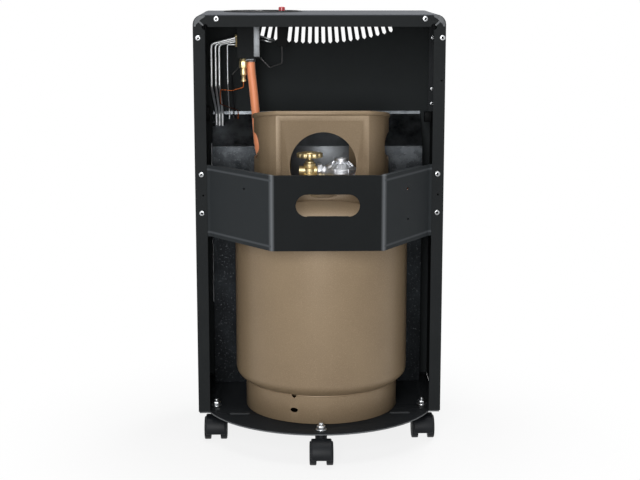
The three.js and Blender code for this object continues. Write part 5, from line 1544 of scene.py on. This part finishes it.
def pan_head(radius, height):
    """A pan-head screw at the world's middle that faces the back, its recess cut."""
    rim = height * 0.35
    made = loose_shape("screw", lambda b: add_turned(b, [
        (0, 0.6), (radius * 0.5, 0.6), (radius * 0.5, 0), (radius, 0), (radius, -rim),
        (radius * 0.94, -height * 0.6),
        (radius * 0.82, -height * 0.9), (radius * 0.7, -height), (0, -height)], (0, 0, 0), 40,
        "Y"))
    deep = -height * 0.1

    def wedge(turned_over):
        half, thin = radius * 0.5, radius * 0.2
        flat = box_outline(-half, half, -thin, thin)
        flat = [(b, a) for a, b in flat] if turned_over else flat

        def fill(b):
            add_prism(b, flat, -height - 1, deep, "Y")
            bmesh.ops.translate(b, verts=b.verts, vec=-at(0, 0, 0))
        return fill

    carved(made, [wedge(False), wedge(True)])
    # The recess faces are marked here so that the screw's material paints them near black, as painted shade.
    recess = made.data.attributes.new("recess", "FLOAT", "FACE")
    for face in made.data.polygons:
        centre = face.center / MM
        inside = (math.hypot(centre.x, centre.z) < radius * RECESS_SHARE
                  and centre.y > -height + 0.05)
        recess.data[face.index].value = 1.0 if inside else 0.0
    return made


screws_at_points = screw_tree()
flange_screw = pan_head(4.9, 2.9)
flange_places = [(-171, 0, 728), (175, 0, 728), (-201.5, 0, 697), (204, 0, 697)]
grown("flange_screws", point_object("flange", [at(*p) for p in flange_places]), screws_at_points,
      {"Screw": flange_screw, "Seed": 3, "Material": screw_zinc}, "cabinet")
band_heads = [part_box(f"band_screw_{k}")[0] for k in range(1, 5)]
band_front = band_heads[0].y / MM - REAR_FLANGES_Y
band_places = [(x, band_front + 2.9, z) for x in (-199, 199) for z in (403, 469)]
band_screws = grown("band_hanging_screws", point_object("band", [at(*p) for p in band_places]),
                    screws_at_points,
                    {"Screw": flange_screw, "Seed": 8, "Material": screw_zinc}, "cabinet")
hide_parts("band_screw_1", "band_screw_2", "band_screw_3", "band_screw_4")
rail_screw = pan_head(3.6, 2.2)
rail_places = [(side * 203, 150, z) for side in (-1, 1) for z in (690, 600, 574)]
grown("rail_screws", point_object("rails", [at(*p) for p in rail_places]), screws_at_points,
      {"Screw": rail_screw, "Seed": 5, "Material": screw_zinc}, "cabinet")
bpy.data.objects.remove(flange_screw)
bpy.data.objects.remove(rail_screw)
print("screws:", len(flange_places) + len(band_places) + len(rail_places))

# %% [markdown]
# ## Small trim near the tap
#
# Each pipe ends at the tap in a small brass nut. A strip of bright sheet stiffens the
# bracket's edge, two wires with bright terminals run to the igniter, and two small clips
# hold the ends of the shield's roof to the sides.

# %% Nuts, strip, wires and clips
PIPE_ENDS = [(158, 692), (168, 688), (178, 684), (174, 677)]
NUT_CORNER, NUT_SPAN = 4.6, (-145.5, -137.2)
bm = bmesh.new()
for y, z in PIPE_ENDS:
    ring = [(y + NUT_CORNER * math.cos(math.radians(60 * k)),
             z + NUT_CORNER * math.sin(math.radians(60 * k))) for k in range(6)]
    add_prism(bm, ring, *NUT_SPAN, "X", 0.4)
piece_from("pipe_nuts", bm, turned_brass)

bm = bmesh.new()
add_prism(bm, box_outline(-112, -102, 659, 716), 120.4, 121.7, "Y", 0.3)
piece_from("bracket_edge_strip", bm, dull_zinc)

bm = bmesh.new()
add_tube(bm, smooth_route([(-101, 150, 693), (-94, 148, 691), (-84, 147, 688), (-77, 152, 687)],
                          6), 1.6, 12)
add_tube(bm, smooth_route([(-101, 152, 686), (-92, 149, 685), (-83, 150, 683), (-76, 156, 684)],
                          6), 1.6, 12)
piece_from("igniter_terminals", bm, zinc_plate)

bm = bmesh.new()
add_prism(bm, round_outline(193, 206, 176, 190, 1.5), 538, 556, "Z", 0.6)
piece_from("shield_clip_right", bm, igniter_plastic)
bm = bmesh.new()
add_prism(bm, round_outline(-207, -193, 176, 192, 1.5), 541, 566, "Z", 0.6)
piece_from("shield_clip_left", bm, igniter_plastic)
print("trim pieces:", 5)

# %% [markdown]
# ## Folded corners of the rear flanges
#
# At each top corner of the opening the two flanges meet in a small folded tab. The tab
# looks paler than the sheet round it; a thin coat over a weld is a guess at the cause. It
# is a thin plate with the cabinet's corner radius on its outside and a notch for the fold
# on its inside.

# %% Corner tabs
def pale_coat(tree, place):
    return [(add(tree, "ShaderNodeTexNoise", {"Vector": place, "Scale": per_mm(7),
                                              "Detail": 4.0}).outputs["Fac"],
             0.3, 0.7, 0x6E7072)]


tab_coat = powder_coat("pale grey powder coat, corner tabs", 0x5A5C5E, 0.6, pale_coat)
TAB = [(-208.4, 716), (-208.2, 722), (-206, 728), (-201.5, 732.3), (-195, 734), (-189, 734.2),
       (-190.2, 731.2), (-196, 727.8),
       (-198.6, 725), (-191.5, 718.4), (-193.2, 716.6), (-200.4, 722.6), (-204, 719.6),
       (-205.6, 715.4)]
for side, name in ((1, "corner_tab_left"), (-1, "corner_tab_right")):
    bm = bmesh.new()
    add_prism(bm, [(side * x, z) for x, z in TAB], -0.45, -0.02, "Y")
    piece_from(name, bm, tab_coat)
print("corner tabs:", 2)

# %% [markdown]
# ## Nothing is left bare
#
# A CAD node that no piece replaces still shows. Each one that is left is listed here with
# the material it gets, so no plain imported colour stays in the picture.

# %% Left-over nodes
left = [name for name, o in nodes.items() if not o.hide_render]
for name in left:
    nodes[name].data.materials.clear()
    nodes[name].data.materials.append(black_coat)
print("CAD nodes still shown:", left)
